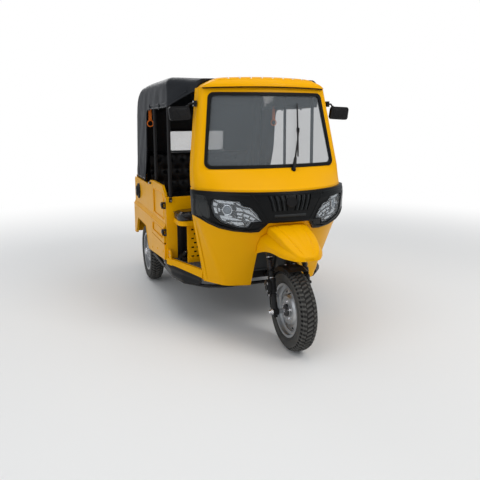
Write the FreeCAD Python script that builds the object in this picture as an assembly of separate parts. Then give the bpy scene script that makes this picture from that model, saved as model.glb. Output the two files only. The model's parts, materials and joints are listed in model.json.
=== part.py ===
import FreeCAD, Part
import math
import os

V = FreeCAD.Vector
X_AXIS = V(1, 0, 0)
Y_AXIS = V(0, 1, 0)
Z_AXIS = V(0, 0, 1)

# An auto rickshaw: one steered wheel in front, two wheels behind, a sheet metal cab and a vinyl canopy.
# Millimetres. X points to the vehicle's left, Y to its rear, Z up, and the ground is Z = 0.
# The sizes below have Y = 0 at the front axle. place() moves every shape so that Y = 0 is halfway along.

# Overall
WHEELBASE = 2000.0
TAIL_OVERHANG = 587.5
CANOPY_TOP = 1836.0
FIT_GAP = 0.3
REAR_END = WHEELBASE + TAIL_OVERHANG

# Side panels
SIDE_LOW_X = 655.0
SIDE_STEP = 15.0
SIDE_HIGH_X = SIDE_LOW_X - SIDE_STEP
SIDE_THICKNESS = 20.0
SIDE_OVERHANG = 452.0
SIDE_REAR_Y = WHEELBASE + SIDE_OVERHANG
SIDE_TOP_Z = 957.0
SIDE_HEM_Z = 396.0
SWAGE_LOW_Z = 690.0
SWAGE_HIGH_Z = 720.0
REAR_PANEL_TOP = 977.0
REAR_PANEL_THICKNESS = 24.0

# Wheels
TYRE_RADIUS = 272.5
TYRE_WIDTH = 125.0
TYRE_WALL = 12.0
BEAD_RADIUS = 168.0
RIM_WIDTH = 96.0
RIM_LIP = 11.0
RIM_SHEET = 4.0
RIM_VENTS = 8
RIM_VENT_RADIUS = 9.0
RIM_VENT_CIRCLE = BEAD_RADIUS - 44.0
WHEEL_TO_SIDE = 12.5
REAR_TRACK = 2 * (SIDE_LOW_X - SIDE_THICKNESS - WHEEL_TO_SIDE) - TYRE_WIDTH
AXLE_RADIUS = 11.0
HUB_RADIUS = 42.0
HUB_WIDTH = 104.0

# Cab shell. Each level: z, flange x, corner x, front y, nose radius, corner radius, back y
NOSE_LEVELS = (
    (360.0, 448.0, 380.0, 325.0, 900.0, 100.0, 556.0),
    (860.0, 545.0, 545.0, 65.0, 630.0, 120.0, 480.0),
    (1000.0, 550.0, 550.0, 55.0, 630.0, 120.0, 480.0),
    (1066.0, 552.0, 552.0, 80.0, 640.0, 120.0, 485.0),
)
SCREEN_LEVELS = (
    (1066.0 + FIT_GAP, 552.0, 552.0, 80.0, 640.0, 120.0, 485.0),
    (1190.0, 552.0, 552.0, 285.0, 1300.0, 70.0, 500.0),
    (CANOPY_TOP - 101.0, 478.0, 478.0, 420.0, 1350.0, 60.0, 590.0),
)
SHELL_WALL = 20.0
NOSE_FOOT_Z = NOSE_LEVELS[0][0]
NOSE_BACK_Y = NOSE_LEVELS[0][6]
# Any prism that cuts or picks out a piece of the shell runs between these two
BEFORE_NOSE_Y = -200.0
BEHIND_SHELL_Y = 900.0
PAST_BACK = 80.0

# Wheel cut-out between the leg shields
CUTOUT_HALF = 170.0
CUTOUT_TOP = 745.0
CUTOUT_ROUND = 36.0

# Windscreen opening
SCREEN_LOW_HALF = 490.0
SCREEN_LOW_Z = 1190.0
SCREEN_TOP_HALF = 424.0
SCREEN_TOP_Z = CANOPY_TOP - 132.0
SCREEN_ROUND = 42.0
SEAL_WIDTH = 22.0
SEAL_PROUD = 5.0
SEAL_DEPTH = 26.0
GLASS_THICKNESS = 6.0
GLASS_INSET = 5.0

# Wiper, at x and z on the screen
WIPER_PIVOT = (118.0, SCREEN_LOW_Z - 12.0)
WIPER_LOW = (171.0, SCREEN_LOW_Z + 72.0)
WIPER_HIGH = (204.0, SCREEN_TOP_Z - 75.0)
WIPER_JOINT = (192.0, (WIPER_LOW[1] + WIPER_HIGH[1]) / 2 - 14.0)
WIPER_RADIUS = 6.0

# Front mask
MASK_PROUD = 22.0
MASK_TOP_Z = 1054.0
MASK_REAR_Y = 430.0
# Left half of the mask's outline seen from the front, x and z
MASK_HALF_OUTLINE = (
    (600.0, MASK_TOP_Z), (600.0, 900.0), (541.0, 868.0), (496.0, 838.0), (432.0, 808.0),
    (348.0, 791.0), (248.0, 784.0), (197.0, 789.0), (148.0, 853.0),
)
LAMP_OUTLINE = (
    (472.0, 1006.0), (330.0, 997.0), (307.0, 968.0), (260.0, 957.0), (223.0, 915.0), (193.0, 864.0),
    (255.0, 860.0), (268.0, 826.0), (320.0, 819.0), (424.0, 854.0), (466.0, 896.0), (482.0, 960.0),
)
CORNER_LAMP_OUTLINE = (
    (548.0, 1026.0), (520.0, 1022.0), (504.0, 950.0), (494.0, 876.0), (524.0, 894.0), (540.0, 940.0),
)
LAMP_INSET = 4.0
LENS_THICKNESS = 5.0
# Slots beside the badge: x at the top, x at the bottom
GRILLE_SLOTS = ((150.0, 122.0), (114.0, 91.0), (78.0, 58.0), (41.0, 27.0))
SLOT_TOP_WIDTH = 10.0
SLOT_LOW_WIDTH = 7.0
SLOT_TOP_Z = 1031.0
SLOT_LOW_Z = 930.0
SLOT_DEPTH = 12.0
BADGE_RADIUS = 35.0
BADGE_Z = 991.0
BADGE_PROUD = 5.0

# Fender over the front wheel. Each station: y, then x and z of the lower edge, the side crease,
# the shoulder and the top crease, then z on the middle line
FENDER_STATIONS = (
    (-236.0, (40.0, 661.0), (38.0, 668.0), (34.0, 677.0), (16.0, 682.0), 684.0),
    (-222.0, (84.0, 657.0), (82.0, 674.0), (72.0, 688.0), (34.0, 694.0), 697.0),
    (-190.0, (124.0, 662.0), (120.0, 688.0), (104.0, 712.0), (44.0, 722.0), 726.0),
    (-128.0, (148.0, 674.0), (144.0, 712.0), (128.0, 742.0), (56.0, 758.0), 762.0),
    (-40.0, (162.0, 678.0), (158.0, 734.0), (140.0, 776.0), (62.0, 796.0), 800.0),
    (60.0, (172.0, 668.0), (166.0, 756.0), (144.0, 804.0), (64.0, 824.0), 828.0),
    (160.0, (178.0, 640.0), (170.0, 776.0), (144.0, 826.0), (62.0, 846.0), 850.0),
    (250.0, (184.0, 604.0), (172.0, 790.0), (144.0, 840.0), (60.0, 860.0), 864.0),
)
FENDER_WALL = 5.0
FENDER_BLUNT = 100.0
# How far each point of a section moves in for the inner face: share of the wall in x and in z
FENDER_INWARD = ((1.0, 4.0), (1.0, 0.4), (0.8, 0.8), (0.3, 1.0))

# Floors
FLOOR_TOP = 455.0
FLOOR_SHEET = 12.0
FLOOR_LOW = FLOOR_TOP - FLOOR_SHEET
PARTITION_Y = 930.0
PARTITION_THICKNESS = 26.0
PARTITION_REAR_Y = PARTITION_Y + PARTITION_THICKNESS
PARTITION_TOP = 932.0
DECK_TOP = 2 * TYRE_RADIUS + 90.0
DECK_SHEET = 12.0
DECK_AHEAD = 300.0
RISER_Y = WHEELBASE - DECK_AHEAD
WELL_TO_TYRE = 19.5
WELL_WALL = 10.0
WELL_WALL_X = REAR_TRACK / 2 - TYRE_WIDTH / 2 - WELL_TO_TYRE
SILL_REAR_X = SIDE_HIGH_X - 22.0
SILL_FRONT_X = 436.0
SILL_FRONT_Y = 566.0
SILL_WIDTH = 28.0
TOE_TOP = (335.0, 800.0)
TOE_FOOT_Y = 410.0
DASH_LOW = 905.0
DASH_HIGH = 1045.0
DASH_BACK_Y = 205.0

# Doors and hinges
DOOR_GAP = 6.0
DOOR_SILL_Z = 566.0
DOOR_TOP_Z = 1014.0
DOOR_FRONT_Y = PARTITION_REAR_Y + 12.0
DOOR_TO_AXLE = 528.0
DOOR_REAR_Y = WHEELBASE - DOOR_TO_AXLE
DOOR_CHAMFER = 96.0
DOOR_ROUND = 22.0
EMBOSS_MARGIN = 45.0
EMBOSS_DEPTH = 5.0
EMBOSS_ROUND = 18.0
HINGE_OUT = 8.0
HINGE_RADIUS = 7.0
HINGE_HEIGHT = 30.0
HINGE_END = 10.0
HINGE_LEAF = 4.0
HINGE_LOW_Z = 660.0
HINGE_HIGH_Z = 872.0
HINGE_X = SIDE_LOW_X + HINGE_OUT
HINGE_Y = (PARTITION_REAR_Y + DOOR_FRONT_Y) / 2.0

# Wheel arch in the side panel, as distances from the rear axle
ARCH_TOP_Z = 2 * TYRE_RADIUS + 27.0
ARCH_FRONT_LOW = 328.0
ARCH_FRONT_HIGH = 228.0
ARCH_REAR_HIGH = 230.0
ARCH_REAR_LOW = 352.0
ARCH_LOW_Z = 384.0

# Frame
RAIL_HALF = 25.0
RAIL_HEIGHT = 70.0
RAIL_TO_WELL = 238.0
RAIL_X = WELL_WALL_X - RAIL_TO_WELL
RAIL_TOP = FLOOR_LOW - FIT_GAP
RAIL_LOW = RAIL_TOP - RAIL_HEIGHT
RAIL_FRONT_Y = 440.0
CROSS_WIDTH = 50.0
CROSS_MEMBERS_Y = (RAIL_FRONT_Y, 900.0, WHEELBASE - 680.0, WHEELBASE - 360.0, WHEELBASE + 360.0)
OUTRIGGER_X = SIDE_HIGH_X - 28.0
OUTRIGGER_WIDTH = 42.0
OUTRIGGERS_Y = (954.0, WHEELBASE - 331.0)
BACKBONE_RADIUS = 26.0
GUARD_BAR_X = SIDE_HIGH_X - 40.0
GUARD_BAR_Z = 318.0
GUARD_BAR_RADIUS = 12.5
GUARD_BAR_BEND = 60.0
BUMPER_Z = 412.0
BUMPER_RADIUS = 19.0
BUMPER_HALF = SIDE_HIGH_X - 80.0
BUMPER_BEND = 50.0
STAY_WIDTH = 36.0
STAY_HEIGHT = 24.0

# Steering
RAKE = math.radians(18.0)
STEER_AXLE_OFFSET = 40.0
STEM_RADIUS = 16.0
HEAD_RADIUS = 29.0
FORK_HALF = 125.0
FORK_BOSS_HALF = 20.0
FORK_BOSS_RADIUS = 24.0
LEG_LEAN = 0.3
LEG_WAY = V(0, LEG_LEAN, 1)
LEG_TOP_Z = 2 * TYRE_RADIUS + 95.0
SLIDER_RADIUS = 18.0
SLIDER_FOOT_RADIUS = 19.0
SLIDER_FOOT_Z = TYRE_RADIUS + 57.5
SLIDER_TOP_Z = LEG_TOP_Z - 108.0
STANCHION_RADIUS = 7.0
COLLAR_RADIUS = 21.0
COLLAR_LOW_Z = LEG_TOP_Z - 28.0
COLLAR_HIGH_Z = LEG_TOP_Z - 18.0
CROWN_LOW = 12.0
CROWN_HIGH = 16.0
HEAD_LOW = LEG_TOP_Z + 95.0
HEAD_HIGH = 880.0
FORK_SPRING_RADIUS = 17.0
FORK_SPRING_TURNS = 7
AXLE_NUT_RADIUS = 19.0
AXLE_NUT_LENGTH = 12.0
AXLE_SPACER_RADIUS = 16.0
BAR_Z = 1040.0
BAR_HALF = 285.0
BAR_SWEEP = 200.0
BAR_RADIUS = 11.0
BAR_AHEAD = 70.0
GRIP_RADIUS = 17.0
GRIP_LENGTH = 110.0
MUDGUARD_RADIUS = TYRE_RADIUS + 18.0
MUDGUARD_HALF = TYRE_WIDTH / 2 + 6.0
MUDGUARD_SHEET = 3.0

# Rear axle and springs
CASING_RADIUS = 30.0
SPRING_RADIUS = 36.0
SPRING_X = WELL_WALL_X - 78.0
SPRING_SEAT_HALF = 32.0
SPRING_SEAT_HEIGHT = 42.0
SPRING_TURNS = 6
ARM_X = SPRING_X - 70.0
ARM_HALF = 18.0
ARM_CLAMP_RADIUS = 44.0
ENGINE_HALF = 190.0
ENGINE_FRONT_Y = WHEELBASE - 920.0
ENGINE_REAR_Y = WHEELBASE - 440.0
ENGINE_LOW_Z = 250.0
EXHAUST_X = 120.0
EXHAUST_Z = 300.0
PIPE_RADIUS = 16.0
SILENCER_RADIUS = 36.0

# Seats
SEAT_HALF = 585.0
SEAT_DEPTH = 230.0
SEAT_FRONT_Y = PARTITION_Y - SEAT_DEPTH
SEAT_LOW = 782.0
SEAT_HIGH = 852.0
SEAT_ROUND = 60.0
PAN_DEPTH = 34.0
PAN_LIP = 6.0
COVER_Y = SEAT_FRONT_Y + 52.0
COVER_HALF = SEAT_HALF - 65.0
COVER_SHEET = 6.0
COVER_FOLD = 14.0
SEAT_BOX_HALF = SEAT_HALF - 28.0
SEAT_BOX_SHEET = 4.0
SEAT_POST = 14.0
SLOT_ROWS = 7
SLOT_COLUMNS = 6
SLOT_ROW_PITCH = 34.0
SLOT_COLUMN_PITCH = 40.0
SLOT_LENGTH = 22.0
SLOT_HEIGHT = 13.0
BENCH_HALF = SIDE_HIGH_X - 80.0
BENCH_BASE_TOP = DECK_TOP + 65.0
BENCH_BACK_Y = WHEELBASE + 240.0
BENCH_ROUND = 24.0

# Canopy
CANOPY_HALF = SIDE_HIGH_X - 18.0
CANOPY_CLOTH = 8.0
CANOPY_FRONT_Y = 606.0
CANOPY_FRONT_HALF = SCREEN_LEVELS[-1][2] - 6.0
CANOPY_TAPER_Y = PARTITION_Y - 30.0
CANOPY_TAPER = (CANOPY_HALF - CANOPY_FRONT_HALF) / (CANOPY_TAPER_Y - CANOPY_FRONT_Y)
CANOPY_ROUND = 60.0
CANOPY_BOTTOM = 800.0
VALANCE_Z = CANOPY_TOP - 224.0
WINDOW_HALF = 300.0
BACK_HEIGHT = CANOPY_TOP - REAR_PANEL_TOP
WINDOW_HIGH_Z = REAR_PANEL_TOP + 0.51 * BACK_HEIGHT
WINDOW_LOW_Z = REAR_PANEL_TOP + 0.2654 * BACK_HEIGHT
WINDOW_ROUND = 30.0
HOOP_RADIUS = 13.0
POST_X = SIDE_HIGH_X - 40.0
B_POST_Y = PARTITION_Y + 14.0
C_POST_Y = DOOR_REAR_Y + 18.0
REAR_HOOP_Y = WHEELBASE + 80.0
CANT_RAIL_Z = CANOPY_TOP - 208.0
CANT_RAIL_RADIUS = 10.0

# Trim
MIRROR_Y = 514.0
MIRROR_THICKNESS = 32.0
MIRROR_Z = CANOPY_TOP - 208.0
STRAP_X = POST_X - 8.0
STRAP_Y = WHEELBASE - 265.0
STRAP_HALF = 13.0
STRAP_CLOTH = 4.0
STRAP_RING_RADIUS = 26.0
STRAP_RING_THICKNESS = 5.0
STRAP_DROP = 136.0
LATCH_Y = WHEELBASE - 460.0
LATCH_Z = 985.0
FUEL_CAP_Y = WHEELBASE + 190.0
FUEL_CAP_Z = 842.0
BRAKE_X = -535.0
BRAKE_Y = 860.0

SHIFT_Y = -(REAR_END - TYRE_RADIUS) / 2.0


# Shapes

def box(x0, x1, y0, y1, z0, z1):
    return Part.makeBox(x1 - x0, y1 - y0, z1 - z0, V(x0, y0, z0))


def rod(start, end, radius):
    start = V(*start)
    end = V(*end)
    return Part.makeCylinder(radius, (end - start).Length, start, end - start)


def fuse(shapes):
    result = shapes[0]
    if len(shapes) > 1:
        result = result.multiFuse(shapes[1:])
    return result.removeSplitter()


def mirrored(shape):
    return shape.mirror(V(0, 0, 0), X_AXIS)


def compound(shapes):
    return Part.makeCompound([solid for shape in shapes for solid in shape.Solids])


def both_sides(shape):
    return compound([shape, mirrored(shape)])


def rounded_corner(before, corner, after, radius, most):
    """Start, middle and end of the arc that rounds a corner, within a share of its two sides."""
    back = before - corner
    ahead = after - corner
    half = back.getAngle(ahead) / 2.0
    reach = min(radius / math.tan(half), most * back.Length, most * ahead.Length)
    start = corner + back.normalize() * reach
    end = corner + ahead.normalize() * reach
    bow = (start + end) * 0.5 - corner
    turn = reach * math.tan(half)
    return start, corner + bow.normalize() * (turn / math.sin(half) - turn), end


def face_of(points, corner_radius=0.0):
    """A flat face through 3-D points, with rounded corners where a radius is given."""
    if corner_radius <= 0.0:
        return Part.Face(Part.makePolygon(points + [points[0]]))
    count = len(points)
    arcs = [rounded_corner(points[i - 1], points[i], points[(i + 1) % count], corner_radius, 0.45)
            for i in range(count)]
    edges = []
    for i, (start, middle, end) in enumerate(arcs):
        edges.append(Part.makeLine(arcs[i - 1][2], start))
        edges.append(Part.Arc(start, middle, end).toShape())
    return Part.Face(Part.Wire(edges))


def prism_x(outline, x0, x1, corner_radius=0.0):
    """Extrude a (y, z) outline along X."""
    return face_of([V(x0, y, z) for y, z in outline], corner_radius).extrude(V(x1 - x0, 0, 0))


def prism_y(outline, y0, y1, corner_radius=0.0):
    """Extrude an (x, z) outline along Y."""
    return face_of([V(x, y0, z) for x, z in outline], corner_radius).extrude(V(0, y1 - y0, 0))


def prism_z(outline, z0, z1, corner_radius=0.0):
    """Extrude an (x, y) outline along Z."""
    return face_of([V(x, y, z0) for x, y in outline], corner_radius).extrude(V(0, 0, z1 - z0))


def rectangle(u0, u1, v0, v1):
    return [(u0, v0), (u1, v0), (u1, v1), (u0, v1)]


def spun_x(outline, x, y, z):
    """Turn an (x, radius) outline about a line parallel to X through (y, z)."""
    face = face_of([V(x + along, y, z + radius) for along, radius in outline])
    return face.revolve(V(x, y, z), X_AXIS, 360)


def turned(outline, foot, way):
    """Turn a (radius, height) outline about a line from foot along way."""
    ring = face_of([V(radius, 0, height) for radius, height in outline]).revolve(V(0, 0, 0), Z_AXIS, 360)
    ring.Placement = FreeCAD.Placement(foot, FreeCAD.Rotation(Z_AXIS, way))
    return ring


def bent_tube(points, radius, bend):
    """A round bar along straight runs joined by round bends."""
    points = [V(*p) for p in points]
    edges = []
    at = points[0]
    for i in range(1, len(points) - 1):
        start, middle, end = rounded_corner(points[i - 1], points[i], points[i + 1], bend, 0.48)
        edges.append(Part.makeLine(at, start))
        edges.append(Part.Arc(start, middle, end).toShape())
        at = end
    edges.append(Part.makeLine(at, points[-1]))
    circle = Part.Wire(Part.makeCircle(radius, points[0], points[1] - points[0]))
    return Part.Wire(edges).makePipeShell([circle], True, False, 2)


# Cab shell

def shell_centres(level):
    """Centres of a level's nose arc and left corner arc, as (x, y)."""
    _, _, corner, front, nose, corner_round, _ = level
    centre_x = corner - corner_round
    nose_y = front + nose
    return nose_y, centre_x, nose_y - math.sqrt((nose - corner_round) ** 2 - centre_x ** 2)


def shell_section(level, offset, back_extra=0.0):
    """One closed plan section: nose arc, two rounded corners, two side lines and a straight back."""
    z, flange, _, _, nose, corner_round, back = level
    nose_y, centre_x, centre_y = shell_centres(level)
    nose_r = nose + offset
    round_r = corner_round + offset
    unit_x = centre_x / (nose - corner_round)
    unit_y = (centre_y - nose_y) / (nose - corner_round)
    arc_end = V(unit_x * nose_r, nose_y + unit_y * nose_r, z)
    flange_point = V(flange + offset, back, z)
    reach = V(flange_point.x - centre_x, flange_point.y - centre_y, 0)
    swing = math.atan2(reach.y, reach.x) - math.acos(min(1.0, round_r / reach.Length))
    side_start = V(centre_x + round_r * math.cos(swing), centre_y + round_r * math.sin(swing), z)
    side_end = flange_point + (flange_point - side_start).normalize() * back_extra
    bisect = (math.atan2(unit_y, unit_x) + swing) / 2.0
    corner_mid = V(centre_x + round_r * math.cos(bisect), centre_y + round_r * math.sin(bisect), z)
    nose_tip = V(0, nose_y - nose_r, z)

    def other(p):
        return V(-p.x, p.y, p.z)

    return Part.Wire([
        Part.Arc(other(arc_end), nose_tip, arc_end).toShape(),
        Part.Arc(arc_end, corner_mid, side_start).toShape(),
        Part.makeLine(side_start, side_end),
        Part.makeLine(side_end, other(side_end)),
        Part.makeLine(other(side_end), other(side_start)),
        Part.Arc(other(side_start), other(corner_mid), other(arc_end)).toShape(),
    ])


def shell_volume(levels, offset, back_extra=0.0):
    return Part.makeLoft([shell_section(level, offset, back_extra) for level in levels], True, True)


def shell_wall(levels, outer, inner):
    """The wall between two offsets of the shell, open at the back, the top and the bottom."""
    return shell_volume(levels, outer).cut(shell_volume(levels, inner, PAST_BACK))


def inside_nose():
    """The room inside the nose panel, with the gap that any piece in it keeps."""
    return shell_volume(NOSE_LEVELS, -SHELL_WALL - FIT_GAP, PAST_BACK)


def level_at(levels, z):
    for low, high in zip(levels, levels[1:]):
        if low[0] <= z <= high[0]:
            t = (z - low[0]) / (high[0] - low[0])
            return tuple(a + (b - a) * t for a, b in zip(low, high))
    return levels[-1] if z > levels[-1][0] else levels[0]


def shell_y(levels, x, z):
    """The shell's outer face at a given x and z."""
    level = level_at(levels, z)
    nose = level[4]
    corner_round = level[5]
    nose_y, centre_x, centre_y = shell_centres(level)
    if abs(x) <= centre_x * nose / (nose - corner_round):
        return nose_y - math.sqrt(nose ** 2 - x ** 2)
    return centre_y - math.sqrt(max(corner_round ** 2 - (abs(x) - centre_x) ** 2, 0.0))


def screen_prism(inset):
    outline = [
        (-SCREEN_LOW_HALF + inset, SCREEN_LOW_Z + inset), (SCREEN_LOW_HALF - inset, SCREEN_LOW_Z + inset),
        (SCREEN_TOP_HALF - inset, SCREEN_TOP_Z - inset), (-SCREEN_TOP_HALF + inset, SCREEN_TOP_Z - inset),
    ]
    return prism_y(outline, BEFORE_NOSE_Y, BEHIND_SHELL_Y, SCREEN_ROUND - 0.6 * inset)


def windshield_frame():
    return shell_wall(SCREEN_LEVELS, 0.0, -SHELL_WALL).cut(screen_prism(0.0))


def windshield_seal():
    band = screen_prism(FIT_GAP).cut(screen_prism(SEAL_WIDTH))
    return shell_wall(SCREEN_LEVELS, SEAL_PROUD, SEAL_PROUD - SEAL_DEPTH).common(band)


def windshield():
    pane = shell_wall(SCREEN_LEVELS, -GLASS_INSET, -GLASS_INSET - GLASS_THICKNESS)
    return pane.common(screen_prism(SEAL_WIDTH + FIT_GAP))


def nose_panel():
    outline = rectangle(-CUTOUT_HALF, CUTOUT_HALF, NOSE_FOOT_Z - CUTOUT_ROUND - 20, CUTOUT_TOP)
    cutout = prism_y(outline, BEFORE_NOSE_Y, BEHIND_SHELL_Y, CUTOUT_ROUND)
    return shell_wall(NOSE_LEVELS, 0.0, -SHELL_WALL).cut(cutout)


# Front mask and lamps

def mask_prism(outline):
    """Both mirrored halves of an outline, cut through the nose from the front."""
    right = [(-x, z) for x, z in outline]
    return prism_y(list(outline) + right[::-1], BEFORE_NOSE_Y, MASK_REAR_Y)


def lamp_prisms(grow):
    """Prisms of the two lamps and two corner lamps, their outlines grown from their middles."""
    prisms = []
    for outline in (LAMP_OUTLINE, CORNER_LAMP_OUTLINE):
        middle_x = sum(x for x, z in outline) / len(outline)
        middle_z = sum(z for x, z in outline) / len(outline)
        points = []
        for x, z in outline:
            scale = 1.0 + grow / math.hypot(x - middle_x, z - middle_z)
            points.append((middle_x + (x - middle_x) * scale, middle_z + (z - middle_z) * scale))
        prisms.append(prism_y(points, BEFORE_NOSE_Y, BEHIND_SHELL_Y))
    return both_sides(compound(prisms))


def grille_slots():
    slots = []
    for top_x, low_x in GRILLE_SLOTS:
        slots.append(prism_y([
            (low_x - SLOT_LOW_WIDTH / 2, SLOT_LOW_Z), (low_x + SLOT_LOW_WIDTH / 2, SLOT_LOW_Z),
            (top_x + SLOT_TOP_WIDTH / 2, SLOT_TOP_Z), (top_x - SLOT_TOP_WIDTH / 2, SLOT_TOP_Z),
        ], BEFORE_NOSE_Y, BEHIND_SHELL_Y))
    return both_sides(compound(slots))


def front_mask():
    body = shell_wall(NOSE_LEVELS, MASK_PROUD, FIT_GAP).common(mask_prism(MASK_HALF_OUTLINE))
    body = body.cut(lamp_prisms(1.0))
    groove = shell_wall(NOSE_LEVELS, MASK_PROUD + SLOT_DEPTH, MASK_PROUD - SLOT_DEPTH).common(grille_slots())
    badge_y = shell_y(NOSE_LEVELS, 0, BADGE_Z) - MASK_PROUD - BADGE_PROUD
    badge = Part.makeCylinder(BADGE_RADIUS, MASK_PROUD, V(0, badge_y, BADGE_Z), Y_AXIS)
    return body.cut(groove).fuse(badge).removeSplitter()


def headlamp_lenses():
    face = MASK_PROUD - LAMP_INSET
    return compound([shell_wall(NOSE_LEVELS, face, face - LENS_THICKNESS).common(lamp_prisms(1.0 - FIT_GAP))])


def headlamp_bowls():
    face = MASK_PROUD - LAMP_INSET - LENS_THICKNESS - FIT_GAP
    return compound([shell_wall(NOSE_LEVELS, face, FIT_GAP).common(lamp_prisms(1.0 - FIT_GAP))])


# Fender and visor

def fender_section(station, wall):
    """A section of the fender, moved in by a wall. Near the blunt tip it moves back as well."""
    y, *corners, top = station
    y += wall * max(0.0, 1.0 - (y - FENDER_STATIONS[0][0]) / FENDER_BLUNT)
    left = [V(x - wall * share_x, y, z - wall * share_z)
            for (x, z), (share_x, share_z) in zip(corners, FENDER_INWARD)]
    right = [V(-p.x, p.y, p.z) for p in left]
    points = left + [V(0, y, top - wall)] + right[::-1]
    return Part.makePolygon(points + [points[0]])


def front_fender():
    outer = Part.makeLoft([fender_section(station, 0.0) for station in FENDER_STATIONS], True, True)
    last = FENDER_STATIONS[-1]
    inner_stations = FENDER_STATIONS[:-1] + ((last[0] + PAST_BACK,) + last[1:],)
    inner = Part.makeLoft([fender_section(station, FENDER_WALL) for station in inner_stations], True, True)
    return outer.cut(inner).cut(shell_volume(NOSE_LEVELS, FIT_GAP, PAST_BACK))


# Each level of the visor: height over the screen frame, wider by, further back by
VISOR_STEPS = ((FIT_GAP, -38.0, -26.0), (28.0, -40.0, -22.0), (62.0, -58.0, 14.0), (80.0, -98.0, 66.0))
VISOR_WALL = 8.0
VISOR_LIP_DEPTH = 32.0
VISOR_BACK_Y = 600.0


def visor_levels(crown_drop):
    z, _, corner, front, nose, corner_round, _ = SCREEN_LEVELS[-1]
    levels = [[z + up, corner + wider, corner + wider, front + back, nose, corner_round, VISOR_BACK_Y]
              for up, wider, back in VISOR_STEPS]
    levels[-1][0] -= crown_drop
    return levels


def roof_visor():
    """The cap over the screen: a hollow crown with a shallow lip that returns under its front edge."""
    outer = shell_volume(visor_levels(0.0), 0.0)
    inner = shell_volume(visor_levels(VISOR_WALL - 2), -VISOR_WALL, PAST_BACK)
    base = visor_levels(0.0)[0]
    lip_top = [base[0] + VISOR_WALL - 2] + base[1:]
    room = box(-700, 700, base[3] + VISOR_LIP_DEPTH, BEHIND_SHELL_Y, base[0] - 20, base[0] + 20)
    lip = shell_volume([base, lip_top], 1.0 - VISOR_WALL).cut(room)
    return outer.cut(inner).fuse(lip).removeSplitter()


# Side body

def side_section(y0, y1):
    """The left side wall, straight along the vehicle, stepped out below its swage line."""
    inner_low = SIDE_LOW_X - SIDE_THICKNESS
    inner_high = SIDE_HIGH_X - SIDE_THICKNESS
    bottom = ARCH_LOW_Z - 40
    top = DOOR_TOP_Z + 80
    return prism_y([
        (SIDE_LOW_X, bottom), (SIDE_LOW_X, SWAGE_LOW_Z), (SIDE_HIGH_X, SWAGE_HIGH_Z), (SIDE_HIGH_X, top),
        (inner_high, top), (inner_high, SWAGE_HIGH_Z), (inner_low, SWAGE_LOW_Z), (inner_low, bottom),
    ], y0, y1)


def through_side(outline, corner_radius=0.0):
    return prism_x(outline, SIDE_HIGH_X - 2 * SIDE_THICKNESS, SIDE_LOW_X + 2 * SIDE_THICKNESS, corner_radius)


def door_panel():
    outline = [
        (DOOR_FRONT_Y, DOOR_SILL_Z), (DOOR_REAR_Y, DOOR_SILL_Z), (DOOR_REAR_Y, DOOR_TOP_Z),
        (DOOR_FRONT_Y + DOOR_CHAMFER, DOOR_TOP_Z), (DOOR_FRONT_Y, PARTITION_TOP + 14),
    ]
    panel = side_section(DOOR_FRONT_Y, DOOR_REAR_Y).common(through_side(outline, DOOR_ROUND))
    front = DOOR_FRONT_Y + EMBOSS_MARGIN
    rear = DOOR_REAR_Y - EMBOSS_MARGIN
    low = prism_x(rectangle(front, rear, DOOR_SILL_Z + 34, SWAGE_LOW_Z - 18),
                  SIDE_LOW_X - EMBOSS_DEPTH, SIDE_LOW_X + EMBOSS_DEPTH, EMBOSS_ROUND)
    high = prism_x([
        (front, SWAGE_HIGH_Z + 30), (rear, SWAGE_HIGH_Z + 30), (rear, DOOR_TOP_Z - 60),
        (front + 30, DOOR_TOP_Z - 60), (front, PARTITION_TOP - 20),
    ], SIDE_HIGH_X - EMBOSS_DEPTH, SIDE_HIGH_X + EMBOSS_DEPTH, EMBOSS_ROUND)
    return panel.cut(low).cut(high)


HINGES = ((HINGE_LOW_Z, SIDE_LOW_X), (HINGE_HIGH_Z, SIDE_HIGH_X))


def door_hinge_leaves():
    """Knuckles and leaves that turn with the door."""
    pieces = []
    for z, face_x in HINGES:
        low = z - HINGE_HEIGHT / 2
        knuckle = Part.makeCylinder(HINGE_RADIUS, HINGE_HEIGHT, V(HINGE_X, HINGE_Y, low), Z_AXIS)
        leaf = box(face_x - HINGE_LEAF, HINGE_X + 3, HINGE_Y, DOOR_FRONT_Y + 42, low, low + HINGE_HEIGHT)
        pieces.append(fuse([knuckle, leaf]))
    return compound(pieces)


def body_hinge_brackets():
    """Fixed knuckles above and below each door knuckle, carried by the partition's edge."""
    pieces = []
    foot_x = SIDE_HIGH_X + FIT_GAP
    span = HINGE_HEIGHT / 2 + FIT_GAP
    for z, _ in HINGES:
        parts = [box(foot_x, SIDE_HIGH_X + HINGE_LEAF, PARTITION_Y + 2, HINGE_Y - 10,
                     z - span - HINGE_END, z + span + HINGE_END)]
        for low in (z - span - HINGE_END, z + span):
            parts.append(Part.makeCylinder(HINGE_RADIUS, HINGE_END, V(HINGE_X, HINGE_Y, low), Z_AXIS))
            parts.append(box(foot_x, HINGE_X, PARTITION_Y + 6, HINGE_Y - 2, low, low + HINGE_END))
        pieces.append(fuse(parts))
    return compound(pieces)


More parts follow.
